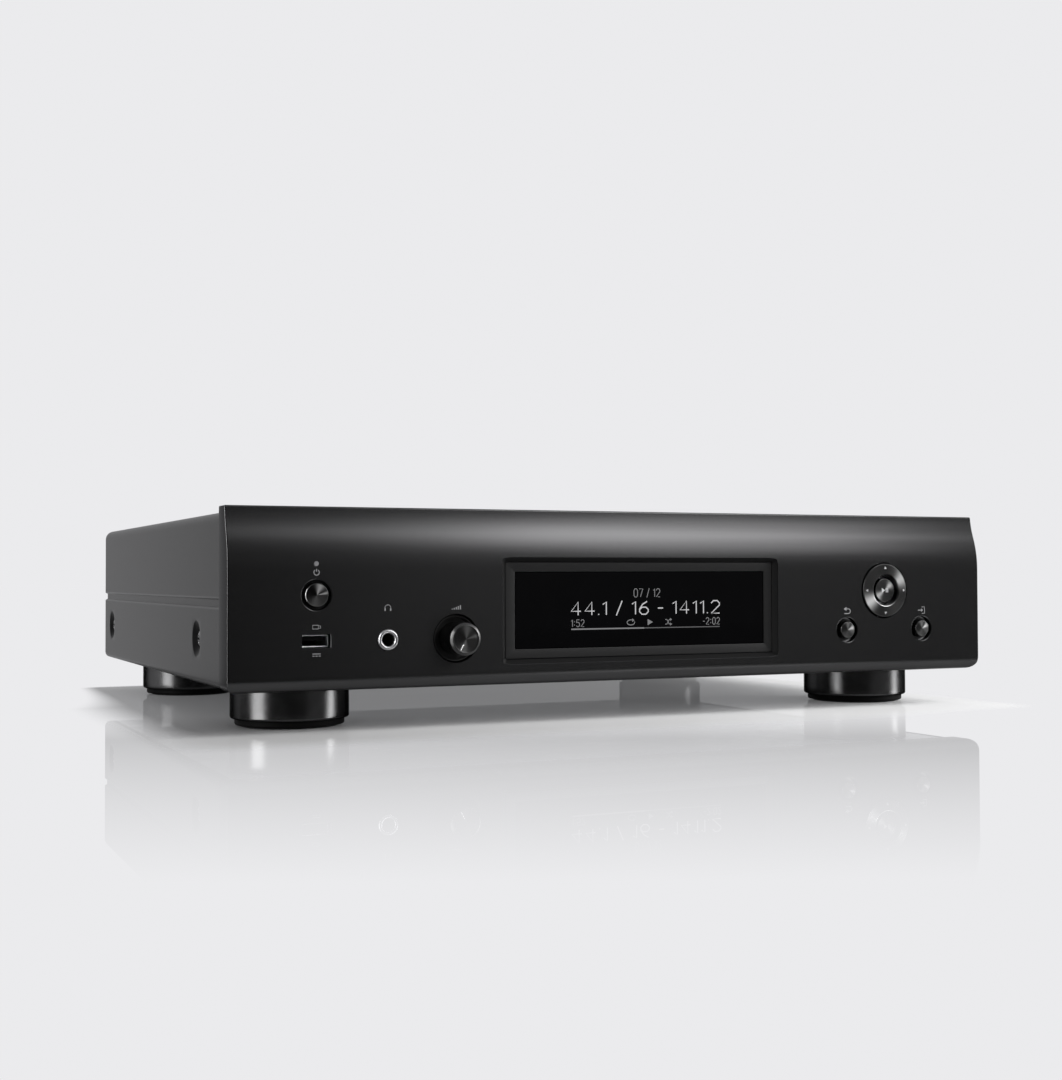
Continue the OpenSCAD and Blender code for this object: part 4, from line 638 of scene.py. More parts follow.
panel = {"fullArc": 52.0, "fullHeight": 17.8, "hollowArc": 48.0, "hollowHeight": 12.0,  # the ogee
         "lowerEdge": 7.0, "corner": 4.5, "topEdge": 0.7, "endEdge": 0.5, "rearEdge": 0.3,
         "wall": 5.0, "rim": 3.5, "rimDeep": 6.0, "ease": 0.18,
         "recess": 3.4, "recessSoft": 0.15, "rimChamfer": 0.25,
         "opening": (161.0, 52.8), "openingCorner": 2.0, "openingReach": 1.5, "bevel": 2.2,
         "holes": {  # each is punched from a box of twice its reach; a recess is a step wider than its hole
             "power_button": {"r": 6.0, "reach": (8.4, 8.4), "step": 1.4},
             "standby_lens": {"r": 1.2, "reach": (1.9, 1.9)},
             "usb_socket": {"half": (6.95, 3.26), "corner": 0.5, "reach": (8.0, 4.4), "ease": 0.07},
             "phones_ring": {"r": 4.65, "reach": (6.2, 6.2)},
             "volume_well": {"r": 11.75, "reach": (12.9, 12.9)},
             "cursor_ring": {"r": 15.45, "reach": (16.3, 16.3)},
             "back_button": {"r": 4.95, "reach": (8.0, 8.0), "step": 2.05},
             "source_button": {"r": 4.95, "reach": (8.0, 8.0), "step": 2.05}},
         "rowPitch": 1.6, "rowClear": 0.45, "rowEnd": 0.15,  # spacing of the grid lines over the face
         "columnPitch": 5.0, "columnFine": 1.25, "columnClear": 1.2, "columnEnd": 0.2}
panelLow, panelHigh = nodeBox("front_panel")
panelHalf, panelDepth = panelHigh[0], panelHigh[1]
panelBottom, panelTop = panelLow[2], panelHigh[2]
ogeeBend = panelTop - panel["hollowHeight"]
ogeeStart = ogeeBend - panel["fullHeight"]
bendAngle = math.asin(panel["fullHeight"] / panel["fullArc"])
bendBack = panel["fullArc"] * (1 - math.cos(bendAngle))


def setBack(z):
    # how far the face lies behind the front plane: flat, then a full arc, then a hollow arc
    fullArc, hollowArc = panel["fullArc"], panel["hollowArc"]
    full = fullArc - np.sqrt(np.maximum(fullArc ** 2 - np.clip(z - ogeeStart, 0, None) ** 2, 0))
    drop = hollowArc * math.sin(bendAngle) - (z - ogeeBend)
    hollow = bendBack - hollowArc * math.cos(bendAngle) + np.sqrt(np.maximum(hollowArc ** 2 - drop ** 2, 0))
    return np.where(z <= ogeeStart, 0.0, np.where(z <= ogeeBend, full, hollow))


def cornerPull(z):
    # share of the width taken off at the lower corners: the radius less the root of the radius squared less
    # the drop into the corner squared
    r = panel["corner"]
    return (r - np.sqrt(np.maximum(r * r - np.clip(panelBottom + r - z, 0, r) ** 2, 0))) / panelHalf


def edgeWall(ease):
    # flat up to the hole, a small eased edge, then the wall straight back
    return [(2 * ease, 0), (ease, 0), (0, ease), (0, panel["wall"])]


def recessWall(step):
    # round recess of a push button: chamfered rim, straight wall, flat floor, then the button's own hole
    rim, deep, soft = panel["rimChamfer"], panel["recess"], panel["recessSoft"]
    wall = step - rim
    return [(step + 2 * soft, 0), (step + soft, 0), (wall + 0.1, rim - 0.05), (wall, rim + soft),
            (wall, deep - 0.1), (wall - soft, deep), (0, deep), (0, panel["wall"])]


def panelHole(node, shape):
    # an opening: its outline, its place on the face and the steps of its wall as (growth, depth)
    wall = recessWall(shape["step"]) if "step" in shape else edgeWall(shape.get("ease", panel["ease"]))
    return {**shape, "at": nodeMiddle(node)[[0, 2]], "wall": wall}


def panelEnd(section, side):
    # the section shrinks a little round the end edge, then runs back to the rear rim
    edge, flat = panel["endEdge"], panelHalf - panel["endEdge"]
    tangent = np.gradient(section, axis=0)
    inward = np.stack([tangent[:, 1], -tangent[:, 0]], -1)
    inward /= np.maximum(np.linalg.norm(inward, axis=1, keepdims=True), tiny)
    rows = []
    for turn in np.radians([0, 30, 60, 90]):
        ring = section.copy()
        ring[2:-2] += inward[2:-2] * edge * (1 - math.cos(turn))
        x = (flat + edge * math.sin(turn)) * (1 - cornerPull(section[:, 1]))
        rows.append(np.stack([side * x, ring[:, 0], ring[:, 1]], -1))
    last = rows[-1].copy()
    last[2:-2, 1] = np.maximum(last[2:-2, 1], panelDepth - panel["rearEdge"])
    rows.append(last)
    faces = gridFaces(len(rows), len(section))
    return np.concatenate(rows), faces if side < 0 else faces[:, ::-1]


def makePanel():
    # rows run from the rear of the underside, round the lower edge, up the face and ogee, and back on top
    low, top, rear, edge = panel["lowerEdge"], panel["topEdge"], panelDepth, panel["rearEdge"]
    opening = np.array(panel["opening"]) / 2
    window = panelHole("display_window", {"half": opening, "corner": panel["openingCorner"],
                                          "reach": opening + panel["openingReach"]})
    others = [panelHole(node, shape) for node, shape in panel["holes"].items()]
    holes = others + [window]
    faceLow, faceHigh = panelBottom + low, panelTop - top
    marks = np.array(sorted({round(v, 4) for hole in holes for v in holeSpan(hole, 1)}))
    face = lineSet(faceLow, faceHigh, panel["rowPitch"], panel["rowPitch"], [])
    face = face[np.abs(face[:, None] - marks[None, :]).min(1) > panel["rowClear"]]
    face = np.sort(np.concatenate([face, marks, [faceLow + panel["rowEnd"], faceHigh - panel["rowEnd"]]]))
    fillet = arc(low, faceLow, low, 270, 180, 12)[:-1]
    crest = arc(setBack(np.array([faceHigh]))[0] + top, faceHigh, top, 150, 90, 3)
    rimLow, rimHigh, rimBack = panelBottom + panel["rim"], panelTop - panel["rim"], rear - panel["rimDeep"]
    section = np.concatenate([
        [[rimBack, rimLow], [rear, rimLow], [rear, panelBottom + edge], [rear - edge, panelBottom]],
        fillet, np.stack([setBack(face), face], -1), crest,
        [[rear - edge, panelTop], [rear, panelTop - edge], [rear, rimHigh], [rimBack, rimHigh]]])
    vLines = np.concatenate([  # a height on the face, and running numbers past its two ends
        panelBottom - 4 + 0.01 * np.arange(4), np.linspace(panelBottom - 3, panelBottom, len(fillet)),
        face, panelTop + 1 + np.arange(7)])
    flat, end = panelHalf - panel["endEdge"], panel["columnEnd"]
    spans = [holeSpan(hole, 0) for hole in others]
    uLines = lineSet(-flat, flat, panel["columnPitch"], panel["columnFine"], spans)
    marks = np.array(holeSpan(window, 0))
    uLines = uLines[np.abs(uLines[:, None] - marks[None, :]).min(1) > panel["columnClear"]]
    uLines = np.concatenate([uLines, marks, [end - flat, flat - end]])
    uLines.sort()  # the lines close to the ends keep the end rounding from shading the face

    def surface(u, v, depth):
        y, z = np.interp(v, vLines, section[:, 0]), np.interp(v, vLines, section[:, 1])
        y = np.where((v >= face[0]) & (v <= face[-1]), setBack(v), y)
        return np.stack([u * (1 - cornerPull(z)), np.maximum(y, depth) if np.any(depth > 0) else y, z], -1)

    skin = [punchedSheet(uLines, vLines, holes, surface), panelEnd(section, -1), panelEnd(section, 1)]
    addPiece("frontPanelSkin", skin, "panelBlack", nodes=["front_panel"], closed=False,
             sharp=40)


makePanel()
print("front panel ready")


# top cover: section with groove and bends carried along the depth, screw dishes pressed in

cover = {"bend": 5.4, "lowerBend": 3.4, "flange": 4.0, "sheet": 1.2,
         "grooveMiddle": 61.6, "grooveHeight": 4.6, "grooveDepth": 1.4, "grooveEase": 0.35,
         "grooveReach": 0.8, "dish": 9.0, "dishFloor": 4.6, "dishDepth": 3.0, "dishReach": 10.4,
         "screwHole": 2.2, "screwIn": 4.0,
         "columnPitch": 12.0, "columnFine": 1.2, "columnEnd": 0.2, "topColumns": 41,
         "lipHeight": 11.0, "lipIn": 6.0, "lipBend": 1.2, "lipBack": 0.4, "lipDrop": 1.3, "lipColumns": 30}


def coverSide(half, top, bottom, dishZ):
    # one side of the section, from the lower flange up past the groove to the end of the upper bend
    bend, under, reach = cover["bend"], cover["lowerBend"], cover["dishReach"]
    deep, grooveEnd = cover["grooveDepth"], cover["grooveReach"]
    grooveLow, grooveHigh = (cover["grooveMiddle"] + side * cover["grooveHeight"] / 2 for side in (-1, 1))
    sideZ = np.concatenate([np.linspace(bottom + under, dishZ - reach, 5)[1:-1],
                            np.linspace(dishZ - reach, dishZ + reach, 19),
                            np.linspace(dishZ + reach, grooveLow - grooveEnd, 3)[1:]])
    inward, upward = np.array([(0, -cover["grooveEase"]), (0.1, 0), (deep - 0.15, 0.55), (deep, 1.0)]).T
    upperZ = np.linspace(grooveHigh + grooveEnd, top - bend, 8)
    return np.concatenate([
        [[half - cover["flange"] - under, bottom]], arc(half - under, bottom + under, under, 270, 360, 8),
        np.stack([np.full(len(sideZ), half), sideZ], -1), np.stack([half - inward, grooveLow + upward], -1),
        np.stack([half - inward, grooveHigh - upward], -1)[::-1], np.stack([np.full(8, half), upperZ], -1),
        arc(half - bend, top - bend, bend, 0, 90, 9)[1:]])


def makeCover():
    # the section is carried along the depth, and each dish presses the side in by the depths of its wall
    low, high = nodeBox("top_cover")
    half, top, bottom = high[0], high[2], low[2]
    front, rear = low[1], high[1]
    screwLow, screwHigh = nodeBox("side_screws")
    dishZ = (screwLow[2] + screwHigh[2]) / 2
    dishY = screwLow[1] + cover["screwIn"], screwHigh[1] - cover["screwIn"]
    dish, reach = cover["dish"], cover["dishReach"]
    side = coverSide(half, top, bottom, dishZ)
    topX = np.linspace(half - cover["bend"], cover["bend"] - half, cover["topColumns"])[1:-1]
    section = np.concatenate([side, np.stack([topX, np.full(len(topX), top)], -1), side[::-1] * (-1, 1)])
    length = np.concatenate([[0], np.cumsum(np.linalg.norm(np.diff(section, axis=0), axis=1))])
    onWall = np.flatnonzero(np.abs(side[:, 0] - half) < 0.01)
    nearest = onWall[np.argmin(np.abs(side[onWall, 1] - dishZ))]
    atDish = length[nearest] + dishZ - side[nearest, 1]
    spans = [(y - reach, y + reach) for y in dishY]
    columns = lineSet(front, rear, cover["columnPitch"], cover["columnFine"], spans)
    uLines = np.sort(np.concatenate([columns, [front + cover["columnEnd"], rear - cover["columnEnd"]]]))
    floor, depth = cover["dishFloor"] - dish, cover["dishDepth"]  # rolled rim, cone, then a flat floor
    wall = [(0.5, 0), (0.15, 0.06), (-0.15, 0.25), (floor + 0.2, depth - 0.15), (floor - 0.2, depth),
            (cover["screwHole"] - dish, depth)]
    holes = [{"at": np.array([y, v]), "r": dish, "reach": (reach, reach), "wall": wall}
             for y in dishY for v in (atDish, length[-1] - atDish)]

    def surface(u, v, pressed):
        x, z = np.interp(v, length, section[:, 0]), np.interp(v, length, section[:, 1])
        return np.stack([x - np.sign(x) * pressed, u, z], -1)

    shell = punchedSheet(uLines, length, holes, surface)
    bend, count, lipEnd = cover["lipBend"], cover["lipColumns"], top - cover["lipHeight"]
    lipBack, lipTop = rear - cover["lipBack"], top - cover["lipDrop"]
    lip = np.concatenate([[[lipBack - 1.1, lipTop]], arc(lipBack - bend, lipTop - bend, bend, 90, 0, 5),
                          [[lipBack, lipEnd + 0.3], [lipBack - 0.2, lipEnd]]])
    lipX = np.linspace(cover["lipIn"] - half, half - cover["lipIn"], count)
    lipY, lipZ = np.repeat(lip, count, 0).T
    lipGrid = np.stack([np.tile(lipX, len(lip)), lipY, lipZ], -1)
    piece = addPiece("topCoverShell", [shell, (lipGrid, gridFaces(len(lip), count)[:, ::-1])], "coverPaint",
                     nodes=["top_cover"], closed=False, sharp=50)
    sheet = piece.modifiers.new("sheet", "SOLIDIFY")
    sheet.thickness, sheet.offset = cover["sheet"] * mm, -1


makeCover()
print("cover ready")


foot = {"edge": 0.7, "lowerEdge": 1.2, "step": 4.0, "stepIn": 2.3, "stepEdge": 0.3, "base": 0.8,
        "baseEdge": 0.8, "padIn": 5.4, "padSeat": 2.0, "bore": 2.2, "core": 5.0, "coreTop": 14.0,
        "turns": 128}


def makeFeet():
    # a turned foot: round upper edge, straight wall, round lower edge, narrower step down to the pad
    e, edge, under, small = foot["edge"], foot["lowerEdge"], foot["baseEdge"], foot["stepEdge"]
    core, bore, stepZ, base, seat = foot["core"], foot["bore"], foot["step"], foot["base"], foot["padSeat"]
    for place in ("front_left", "front_right", "rear_left", "rear_right"):
        low, high = nodeBox("foot_" + place)
        r, top = (high[0] - low[0]) / 2, high[2]
        inner, pad = r - foot["stepIn"], r - foot["padIn"]
        wall = np.stack([np.full(5, r), np.linspace(top - e, stepZ + edge + 0.4, 7)[1:-1]], -1)
        body = np.concatenate([
            [[bore, top], [r - e, top]], arc(r - e, top - e, e, 90, 0, 5), wall,
            arc(r - edge, stepZ + edge, edge, 0, -90, 6),
            [[core, stepZ], [core, foot["coreTop"]], [bore, foot["coreTop"]], [bore, top]]])
        step = np.concatenate([
            [[core, stepZ], [inner + small, stepZ]], arc(inner + small, stepZ - small, small, 90, 180, 4),
            [[inner, base + 1.0]], arc(inner - under, base + under, under, 0, -90, 5),
            [[pad, base], [pad, seat], [core, seat], [core, stepZ]]])
        name = "".join(word.title() for word in place.split("_"))
        centre = nodeMiddle("foot_" + place) * (1, 1, 0)
        addPiece("foot" + name, [lathe(body, centre, "z", foot["turns"])], "footGloss",
                 nodes=["foot_" + place])
        addPiece("footStep" + name, [lathe(step, centre, "z", foot["turns"])], "recessBlack")


makeFeet()
print("feet ready")


# knob, buttons and cursor ring: turned faces with fine concentric grooves

plainTurned = {"plain": 0.05, "rough": 0.44, "roughVary": 0.04, "rimRough": 0.26, "rimBlend": 0.1,
               "rimPaintedWedges": (), "ringDepth": 0.1, "ringScale": 4.0}
turnedPaintedLooks = {  # painted highlights as wedges of paler colour: (angle in degrees, width in degrees, brightness)
    "powerTurned": {"node": "power_button", "face": 5.25, "dark": 0.003, "rimPaintedWedges": ((178, 22, 0.4),),
                    "paintedWedges": ((69, 16, 0.19), (11, 5, 0.2), (265, 30, 0.04), (335, 25, 0.025))},
    "backTurned": {"node": "back_button", "face": 4.1, "dark": 0.001,
                   "paintedWedges": ((20, 13, 0.27), (88, 16, 0.06), (262, 34, 0.022), (345, 20, 0.05))},
    "sourceTurned": {"node": "source_button", "face": 4.1, "dark": 0.001,
                     "paintedWedges": ((29, 14, 0.3), (97, 16, 0.06), (258, 34, 0.022), (345, 20, 0.05))},
    "enterTurned": {"node": "enter_button", "face": 6.1, "dark": 0.009,
                    "paintedWedges": ((36, 15, 0.2), (212, 14, 0.17))},
    "ringTurned": {"node": "cursor_ring", "face": 14.2, "plain": 0.04, "ringDepth": 0.08, "dark": 0.0009,
                   "bore": 8.95, "borePaintedWedge": (268, 22, 0.4),
                   "paintedWedges": ((29, 12.5, 0.18), (210, 11.5, 0.5), (165, 38, 0.02), (295, 34, 0.012))},
    "knobTurned": {"node": "volume_knob", "face": 6.55, "plain": 0.045, "rimRough": 0.28, "dark": 0.008,
                   "paintedWedges": ((84, 16, 0.038), (16, 7, 0.04), (254, 18, 0.048), (330, 40, 0.011)),
                   "rimPaintedWedges": ((22, 22, 0.2),)}}


def paintedWedge(sock, angle, wedge):
    # a painted highlight: a bell of paler colour over the angle, the brightness times exp((cos(angle - turn)
    # - 1) / width squared)
    turn, width, level = wedge
    fall = (sock.maths("COSINE", angle - math.radians(turn)) - 1) * (1 / math.radians(width) ** 2)
    return level * sock.maths("EXPONENT", fall)


def turnedMetalPainted(name, given):
    # the light a turned face gathers in wedges about its axis is painted into its base colour as bells over
    # the angle; fine rings vary with the radius, the rim has none
    look = {**plainTurned, **given}
    material, sock = newMaterial(name)
    middle, place = nodeMiddle(look["node"]), objectPoint(sock)
    x, z = axisPart(sock, place, "X") - float(middle[0]), axisPart(sock, place, "Z") - float(middle[2])
    radius, angle = sock.maths("SQRT", x * x + z * z), sock.maths("ARCTAN2", z, x)
    face, rimGrey = look["dark"], look["plain"]
    for wedge in look["paintedWedges"]:
        face = face + paintedWedge(sock, angle, wedge)
    for wedge in look["rimPaintedWedges"]:
        rimGrey = rimGrey + paintedWedge(sock, angle, wedge)
    rings = sock.node("ShaderNodeTexNoise", {"noise_dimensions": "1D"},
                      {"W": radius, "Scale": look["ringScale"], "Detail": 2.0})
    face = face * spread(sock, rings, 1 - look["ringDepth"], 1 + look["ringDepth"])
    rim = ramp(sock, radius, look["face"] - look["rimBlend"], look["face"] + look["rimBlend"])
    grey = face + rim * (rimGrey - face)
    if "bore" in look:  # painted highlight on the lower half of a bore's eased edge
        inBore = sock.maths("LESS_THAN", radius, look["bore"])
        grey = grey + inBore * paintedWedge(sock, angle, look["borePaintedWedge"])
    colour = mixGrey(sock, sock.maths("MINIMUM", grey, 1.0), 0, 1)
    rough = spread(sock, rings, look["rough"] - look["roughVary"], look["rough"] + look["roughVary"])
    rough = rough + rim * (look["rimRough"] - look["rough"])
    links = {"Base Color": colour, "Roughness": rough, "Metallic": 1.0}
    showSurface(sock, sock.node("ShaderNodeBsdfPrincipled", {}, links))
    return material


materials.update({name: turnedMetalPainted(name, look) for name, look in turnedPaintedLooks.items()})

knob = {"edge": 1.2, "faceIn": 0.25, "bore": 3.0, "boreDeep": 2.0, "pointer": math.radians(29),
        "pointerWidth": 0.5, "pointerFrom": 2.9, "pointerIn": 0.16, "pointerCrown": 0.12}


def makeKnob():
    # a profile of (radius, y) turned about the knob's axis: grooved face, soft edge, straight side
    low, high = nodeBox("volume_knob")
    centre, r = axisPoint("volume_knob"), (high[0] - low[0]) / 2
    front, rear, edge, bore = low[1], high[1], knob["edge"], knob["bore"]
    face, side, floor = r - edge, front + edge, rear - knob["boreDeep"]
    profile = np.concatenate([
        grooves(0, face - 0.5, front + knob["faceIn"], front + knob["faceIn"]),
        [[face - 0.35, front + 0.04], [face - 0.1, front], [face + 0.05, front + 0.04],
         [face + 0.12, front + 0.1], [r - 0.12, side - 0.1], [r - 0.04, side], [r, side + 0.12],
         [r, front + 4], [r, rear - 0.3], [r - 0.3, rear], [bore, rear], [bore, floor], [0, floor]]])
    addPiece("volumeKnobCap", [lathe(profile, centre)], "knobTurned", "volume", ["volume_knob"],
             sharp=50)
    # pointer: a narrow crowned strip let into the face, pointing down and to the left
    along, side = np.linspace(knob["pointerFrom"], face - 0.25, 9), np.linspace(-1, 1, 7)
    out = np.array([-math.sin(knob["pointer"]), -math.cos(knob["pointer"])])
    across = np.array([-out[1], out[0]]) * knob["pointerWidth"] / 2
    a, b = (grid.ravel() for grid in np.meshgrid(along, side, indexing="ij"))
    x, z = (a[:, None] * out + b[:, None] * across).T
    strip = np.stack([x, front + knob["pointerIn"] + knob["pointerCrown"] * b * b, z], -1) + centre
    addPiece("volumePointer", [(strip, gridFaces(9, 7))], "pointerPale", "volume", closed=False)


stemRadius = 2.0
caps = {  # radius, edge and hollow of the face; the flange behind it: how much wider, its front and its rear
    "power_button": {"name": "powerButtonCap", "finish": "powerTurned", "body": "power", "r": 5.55,
                     "edge": 0.36, "hollow": 0.12, "flange": (1.3, 5.3, 6.8)},
    "back_button": {"name": "backButtonCap", "finish": "backTurned", "body": "back", "r": 4.5,
                    "edge": 0.5, "hollow": 0.1, "flange": (1.3, 5.3, 6.8)},
    "source_button": {"name": "sourceButtonCap", "finish": "sourceTurned", "body": "source", "r": 4.5,
                      "edge": 0.5, "hollow": 0.1, "flange": (1.3, 5.3, 6.8)},
    "enter_button": {"name": "enterButtonCap", "finish": "enterTurned", "body": "enter", "r": 6.55,
                     "edge": 0.5, "hollow": 0.12, "flange": (0, 2.0, 3.4)}}


def makeCap(node, cap):
    # a hollow grooved face, a quarter-round edge, then flange and stem, turned about the button's axis
    low, high = nodeBox(node)
    r, edge, front, rear = cap["r"], cap["edge"], low[1], high[1]
    wider, seat, back = cap["flange"]
    profile = np.concatenate([
        grooves(0, r - edge - 0.1, front + cap["hollow"], front + 0.05),
        arc(r - edge, front + edge, edge, -90, 0), [[r, seat], [r + wider, seat],
        [r + wider, back], [stemRadius, back], [stemRadius, rear], [0, rear]]])
    turned = lathe(profile, axisPoint(node))
    addPiece(cap["name"], [turned], cap["finish"], cap["body"], [node], sharp=50)


ring = {"bore": 8.5, "rise": 1.0, "boreEdge": 0.6, "rimEdge": 0.4, "coneFrom": 0.75, "coneTo": 0.5,
        "back": 3.0, "skirt": 1.5, "skirtEnd": 10.4, "turns": 128, "markOut": 0.8, "markSize": 0.78,
        "markLift": 0.06}


def makeRing():
    # a shallow cone that rises to its bore, with a rounded rim on both sides
    low, high = nodeBox("cursor_ring")
    centre, r = axisPoint("cursor_ring"), (high[0] - low[0]) / 2
    bore, front, edge = ring["bore"], low[1], low[1] + ring["rise"]
    inner, rim, back, end = (ring[key] for key in ("boreEdge", "rimEdge", "back", "skirtEnd"))
    skirt = r - ring["skirt"]
    profile = np.concatenate([
        [[bore, back], [bore, front + inner]], arc(bore + inner, front + inner, inner, 180, 270),
        grooves(bore + ring["coneFrom"], r - ring["coneTo"], front + 0.03, edge),
        arc(r - rim, edge + rim, rim, -90, 0, 5), [[r, end], [skirt, end], [skirt, back], [bore, back]]])
    turned = lathe(profile, centre, turns=ring["turns"])
    addPiece("cursorRingTop", [turned], "ringTurned", "cursor", ["cursor_ring"], sharp=50)
    # four small arrow marks lie on the cone and point away from the middle
    marks = []
    middleR, size = (bore + r) / 2 + ring["markOut"], ring["markSize"]
    slope = ring["rise"] / (r - bore - ring["coneFrom"] - ring["coneTo"])
    for turn in np.radians([0, 90, 180, 270]):
        out, along = np.array([math.cos(turn), math.sin(turn)]), np.array([-math.sin(turn), math.cos(turn)])
        tip, root = (middleR + 1.15 * size) * out, (middleR - 0.65 * size) * out
        flat = np.array([tip, root + size * along, root, root - size * along])
        y = front + (np.linalg.norm(flat, axis=1) - bore - ring["coneFrom"]) * slope - ring["markLift"]
        marks.append((np.stack([flat[:, 0], y, flat[:, 1]], -1) + centre, np.array([[0, 1, 2, 3]])))
    addPiece("cursorArrowMarks", marks, "markPale", "cursor", closed=False)


makeKnob()
for node, cap in caps.items():
    makeCap(node, cap)
makeRing()
print("controls ready")


# headphone ring, volume recess and USB shell

phones = {"ringIn": 0.3, "bore": 3.0, "crown": 1.3, "seat": 4.55, "deep": 0.4}
well = {"r": 11.55, "bore": 3.7, "wall": 1.1, "floorEdge": 0.5, "rimEdge": 0.4, "flange": 2.0}
usb = {"shell": 0.5, "setBack": 2.9, "tongue": (11.1, 1.9), "tongueFront": 5.2, "tongueUp": 0.1,
       "rearIn": 1.0, "plate": 0.8, "plateGap": 0.1}


def makePhonesRing():
    # a crowned profile of (radius, y) turned about the socket's axis
    low, high = nodeBox("phones_ring")
    r = (high[0] - low[0]) / 2 - phones["ringIn"]
    bore, seat, deep, rise = phones["bore"], phones["seat"], phones["deep"], phones["crown"]
    middle, half = (bore + r) / 2, (r - bore) / 2
    turn = np.radians(np.linspace(180, 360, 25))  # half an ellipse from the bore to the rim
    crown = np.stack([middle + half * np.cos(turn), low[1] + rise * (1 + np.sin(turn))], -1)
    profile = np.concatenate([[[bore, deep]], crown, [[r, 0], [seat, 0], [seat, deep], [bore, deep]]])
    addPiece("phonesRingTurned", [lathe(profile, axisPoint("phones_ring"))], "jackChrome",
             nodes=["phones_ring"], sharp=40)


def makeWell():
    # a turned cup: flat floor, straight wall, half-round rim, and a flange behind the panel
    low, high = nodeBox("volume_well")
    front, rear, floor = low[1], high[1], panel["wall"]
    r, bore, edge, rim = (well[key] for key in ("r", "bore", "floorEdge", "rimEdge"))
    inner, wide = r - well["wall"], r + well["flange"]
    profile = np.concatenate([
        [[bore, floor], [inner - edge, floor]], arc(inner - edge, floor - edge, edge, 90, 0, 5),
        [[inner, front + rim]], arc(inner + rim, front + rim, rim, 180, 360, 8),
        [[r, floor], [wide, floor], [wide, rear], [bore, rear], [bore, floor]]])
    addPiece("volumeRecessLiner", [lathe(profile, axisPoint("volume_well"))], "wellBlack",
             nodes=["volume_well"], sharp=40)


def makeUsb():
    # shell, plate and tongue are rounded rectangles stacked along the depth
    low, high = nodeBox("usb_socket")
    centre, size, rear, t = axisPoint("usb_socket"), (high - low)[[0, 2]], high[1], usb["shell"]
    lip, deep = low[1] + usb["setBack"], rear - usb["rearIn"]
    rows = grown(size, [  # from the inside out over a rounded lip
        (-2 * t, 0.4, rear), (-2 * t, 0.4, lip + 0.4), (-1.7 * t, 0.45, lip + 0.1), (-t, 0.5, lip),
        (-0.3 * t, 0.55, lip + 0.1), (0, 0.6, lip + 0.4), (0, 0.6, rear), (-2 * t, 0.4, rear)])
    addPiece("usbShell", [loft(rows, centre)], "usbSteel", nodes=["usb_socket"])
    # contact tongue in the upper half, standing on a plate that closes the shell's rear
    inside = -2 * t - usb["plateGap"]
    rows = grown(size, [(inside, 0.4, deep + usb["plate"]), (inside, 0.4, deep)])
    plate = [loft(rows, centre)] + [capRow(row, centre) for row in rows[::-1]]
    place, front = centre + (0, 0, usb["tongue"][1] / 2 + usb["tongueUp"]), usb["tongueFront"]
    rows = grown(usb["tongue"], [(0, 0.25, deep), (0, 0.25, front + 0.3), (-0.5, 0.2, front)])
    tongue = [loft(rows, place), capRow(rows[-1], place)]
    addPiece("usbContactTongue", plate + tongue, "recessBlack", nodes=["usb_insert"],
             closed=False)


makePhonesRing()
makeWell()
makeUsb()
print("sockets ready")


# display: trim frame, bevelled opening and dark pane

display = {"outer": (156.2, 48.0), "corner": 1.2, "inner": (145.8, 38.6), "face": 2.4, "ease": 0.25,
           "seat": 5.0, "rear": 7.2, "flange": 6.0, "bevelIn": 0.2, "bevelRear": 4.9, "bevelGap": 0.1,
           "paneGap": 0.4, "paneEdge": 0.3}


def makeDisplay():
    # frame, bevel and pane are rounded rectangles stacked along the depth; the bevel's edge follows the ogee
    low, high = nodeBox("display_window")
    centre, inner, corner = axisPoint("display_window"), display["inner"], display["corner"]
    face, e, seat, back, flange = (display[key] for key in ("face", "ease", "seat", "rear", "flange"))
    rows = grown(inner, [(0, 0.3, back), (0, 0.3, face + e), (0.3 * e, 0.32, face + 0.3 * e),
                         (2 * e, 0.5, face)])
    rows += grown(display["outer"], [(-2 * e, corner - e, face), (0, corner, face + e), (0, corner, seat),
                                     (flange, 1.5, seat), (flange, 1.5, back)])
    addPiece("displayTrimFrame", [loft(rows + rows[:1], centre)], "displayTrim",
             nodes=["display_frame"])
    bevel, line, gap, rear = 2 * panel["bevel"], display["bevelIn"], display["bevelGap"], display["bevelRear"]
    rows = grown(panel["opening"], [
        (-gap, 2.0, line), (-2 * gap, 2.0, line - 0.02), (0.3 - bevel, 1.4, bevel / 2),
        (-bevel, 1.3, bevel / 2 + 0.2), (-bevel, 1.3, rear), (-gap, 2.0, rear), (-gap, 2.0, line)])
    points, faces = loft(rows, centre)
    points[:, 1] = np.maximum(points[:, 1], setBack(points[:, 2]) + line)
    # the bevel's near-black colour is painted shade on the opening's wall
    addPiece("displayBevel", [(points, faces)], "bevelPaintedShade")
    edge, gap = display["paneEdge"], display["paneGap"]
    rows = grown(inner, [(-gap - 2 * edge, 0.3, low[1]), (-gap, 0.4, low[1] + edge), (-gap, 0.4, high[1])])
    points, faces = capRow(rows[-1], centre)
    pane = [loft(rows, centre), capRow(rows[0], centre), (points, faces[:, ::-1])]
    addPiece("displayPane", pane, "displayBlack", nodes=["display_window"], closed=False)


makeDisplay()
print("display ready")


# flat marks: a generic track screen and plain symbols beside the controls

def stroke(path, width, closed=False):
    # a line of constant width along a path of (x, z): one quad per step between its left and right edges
    path = np.array(path, float)
    if closed:
        path = np.concatenate([path[-1:], path, path[:2]])
    run = np.gradient(path, axis=0)
    run /= np.maximum(np.linalg.norm(run, axis=1, keepdims=True), tiny)
    side = np.stack([-run[:, 1], run[:, 0]], -1) * width / 2
    left, right = path + side, path - side
    if closed:
        left, right = left[1:-1], right[1:-1]
    return list(np.stack([left[:-1], right[:-1], right[1:], left[1:]], 1))


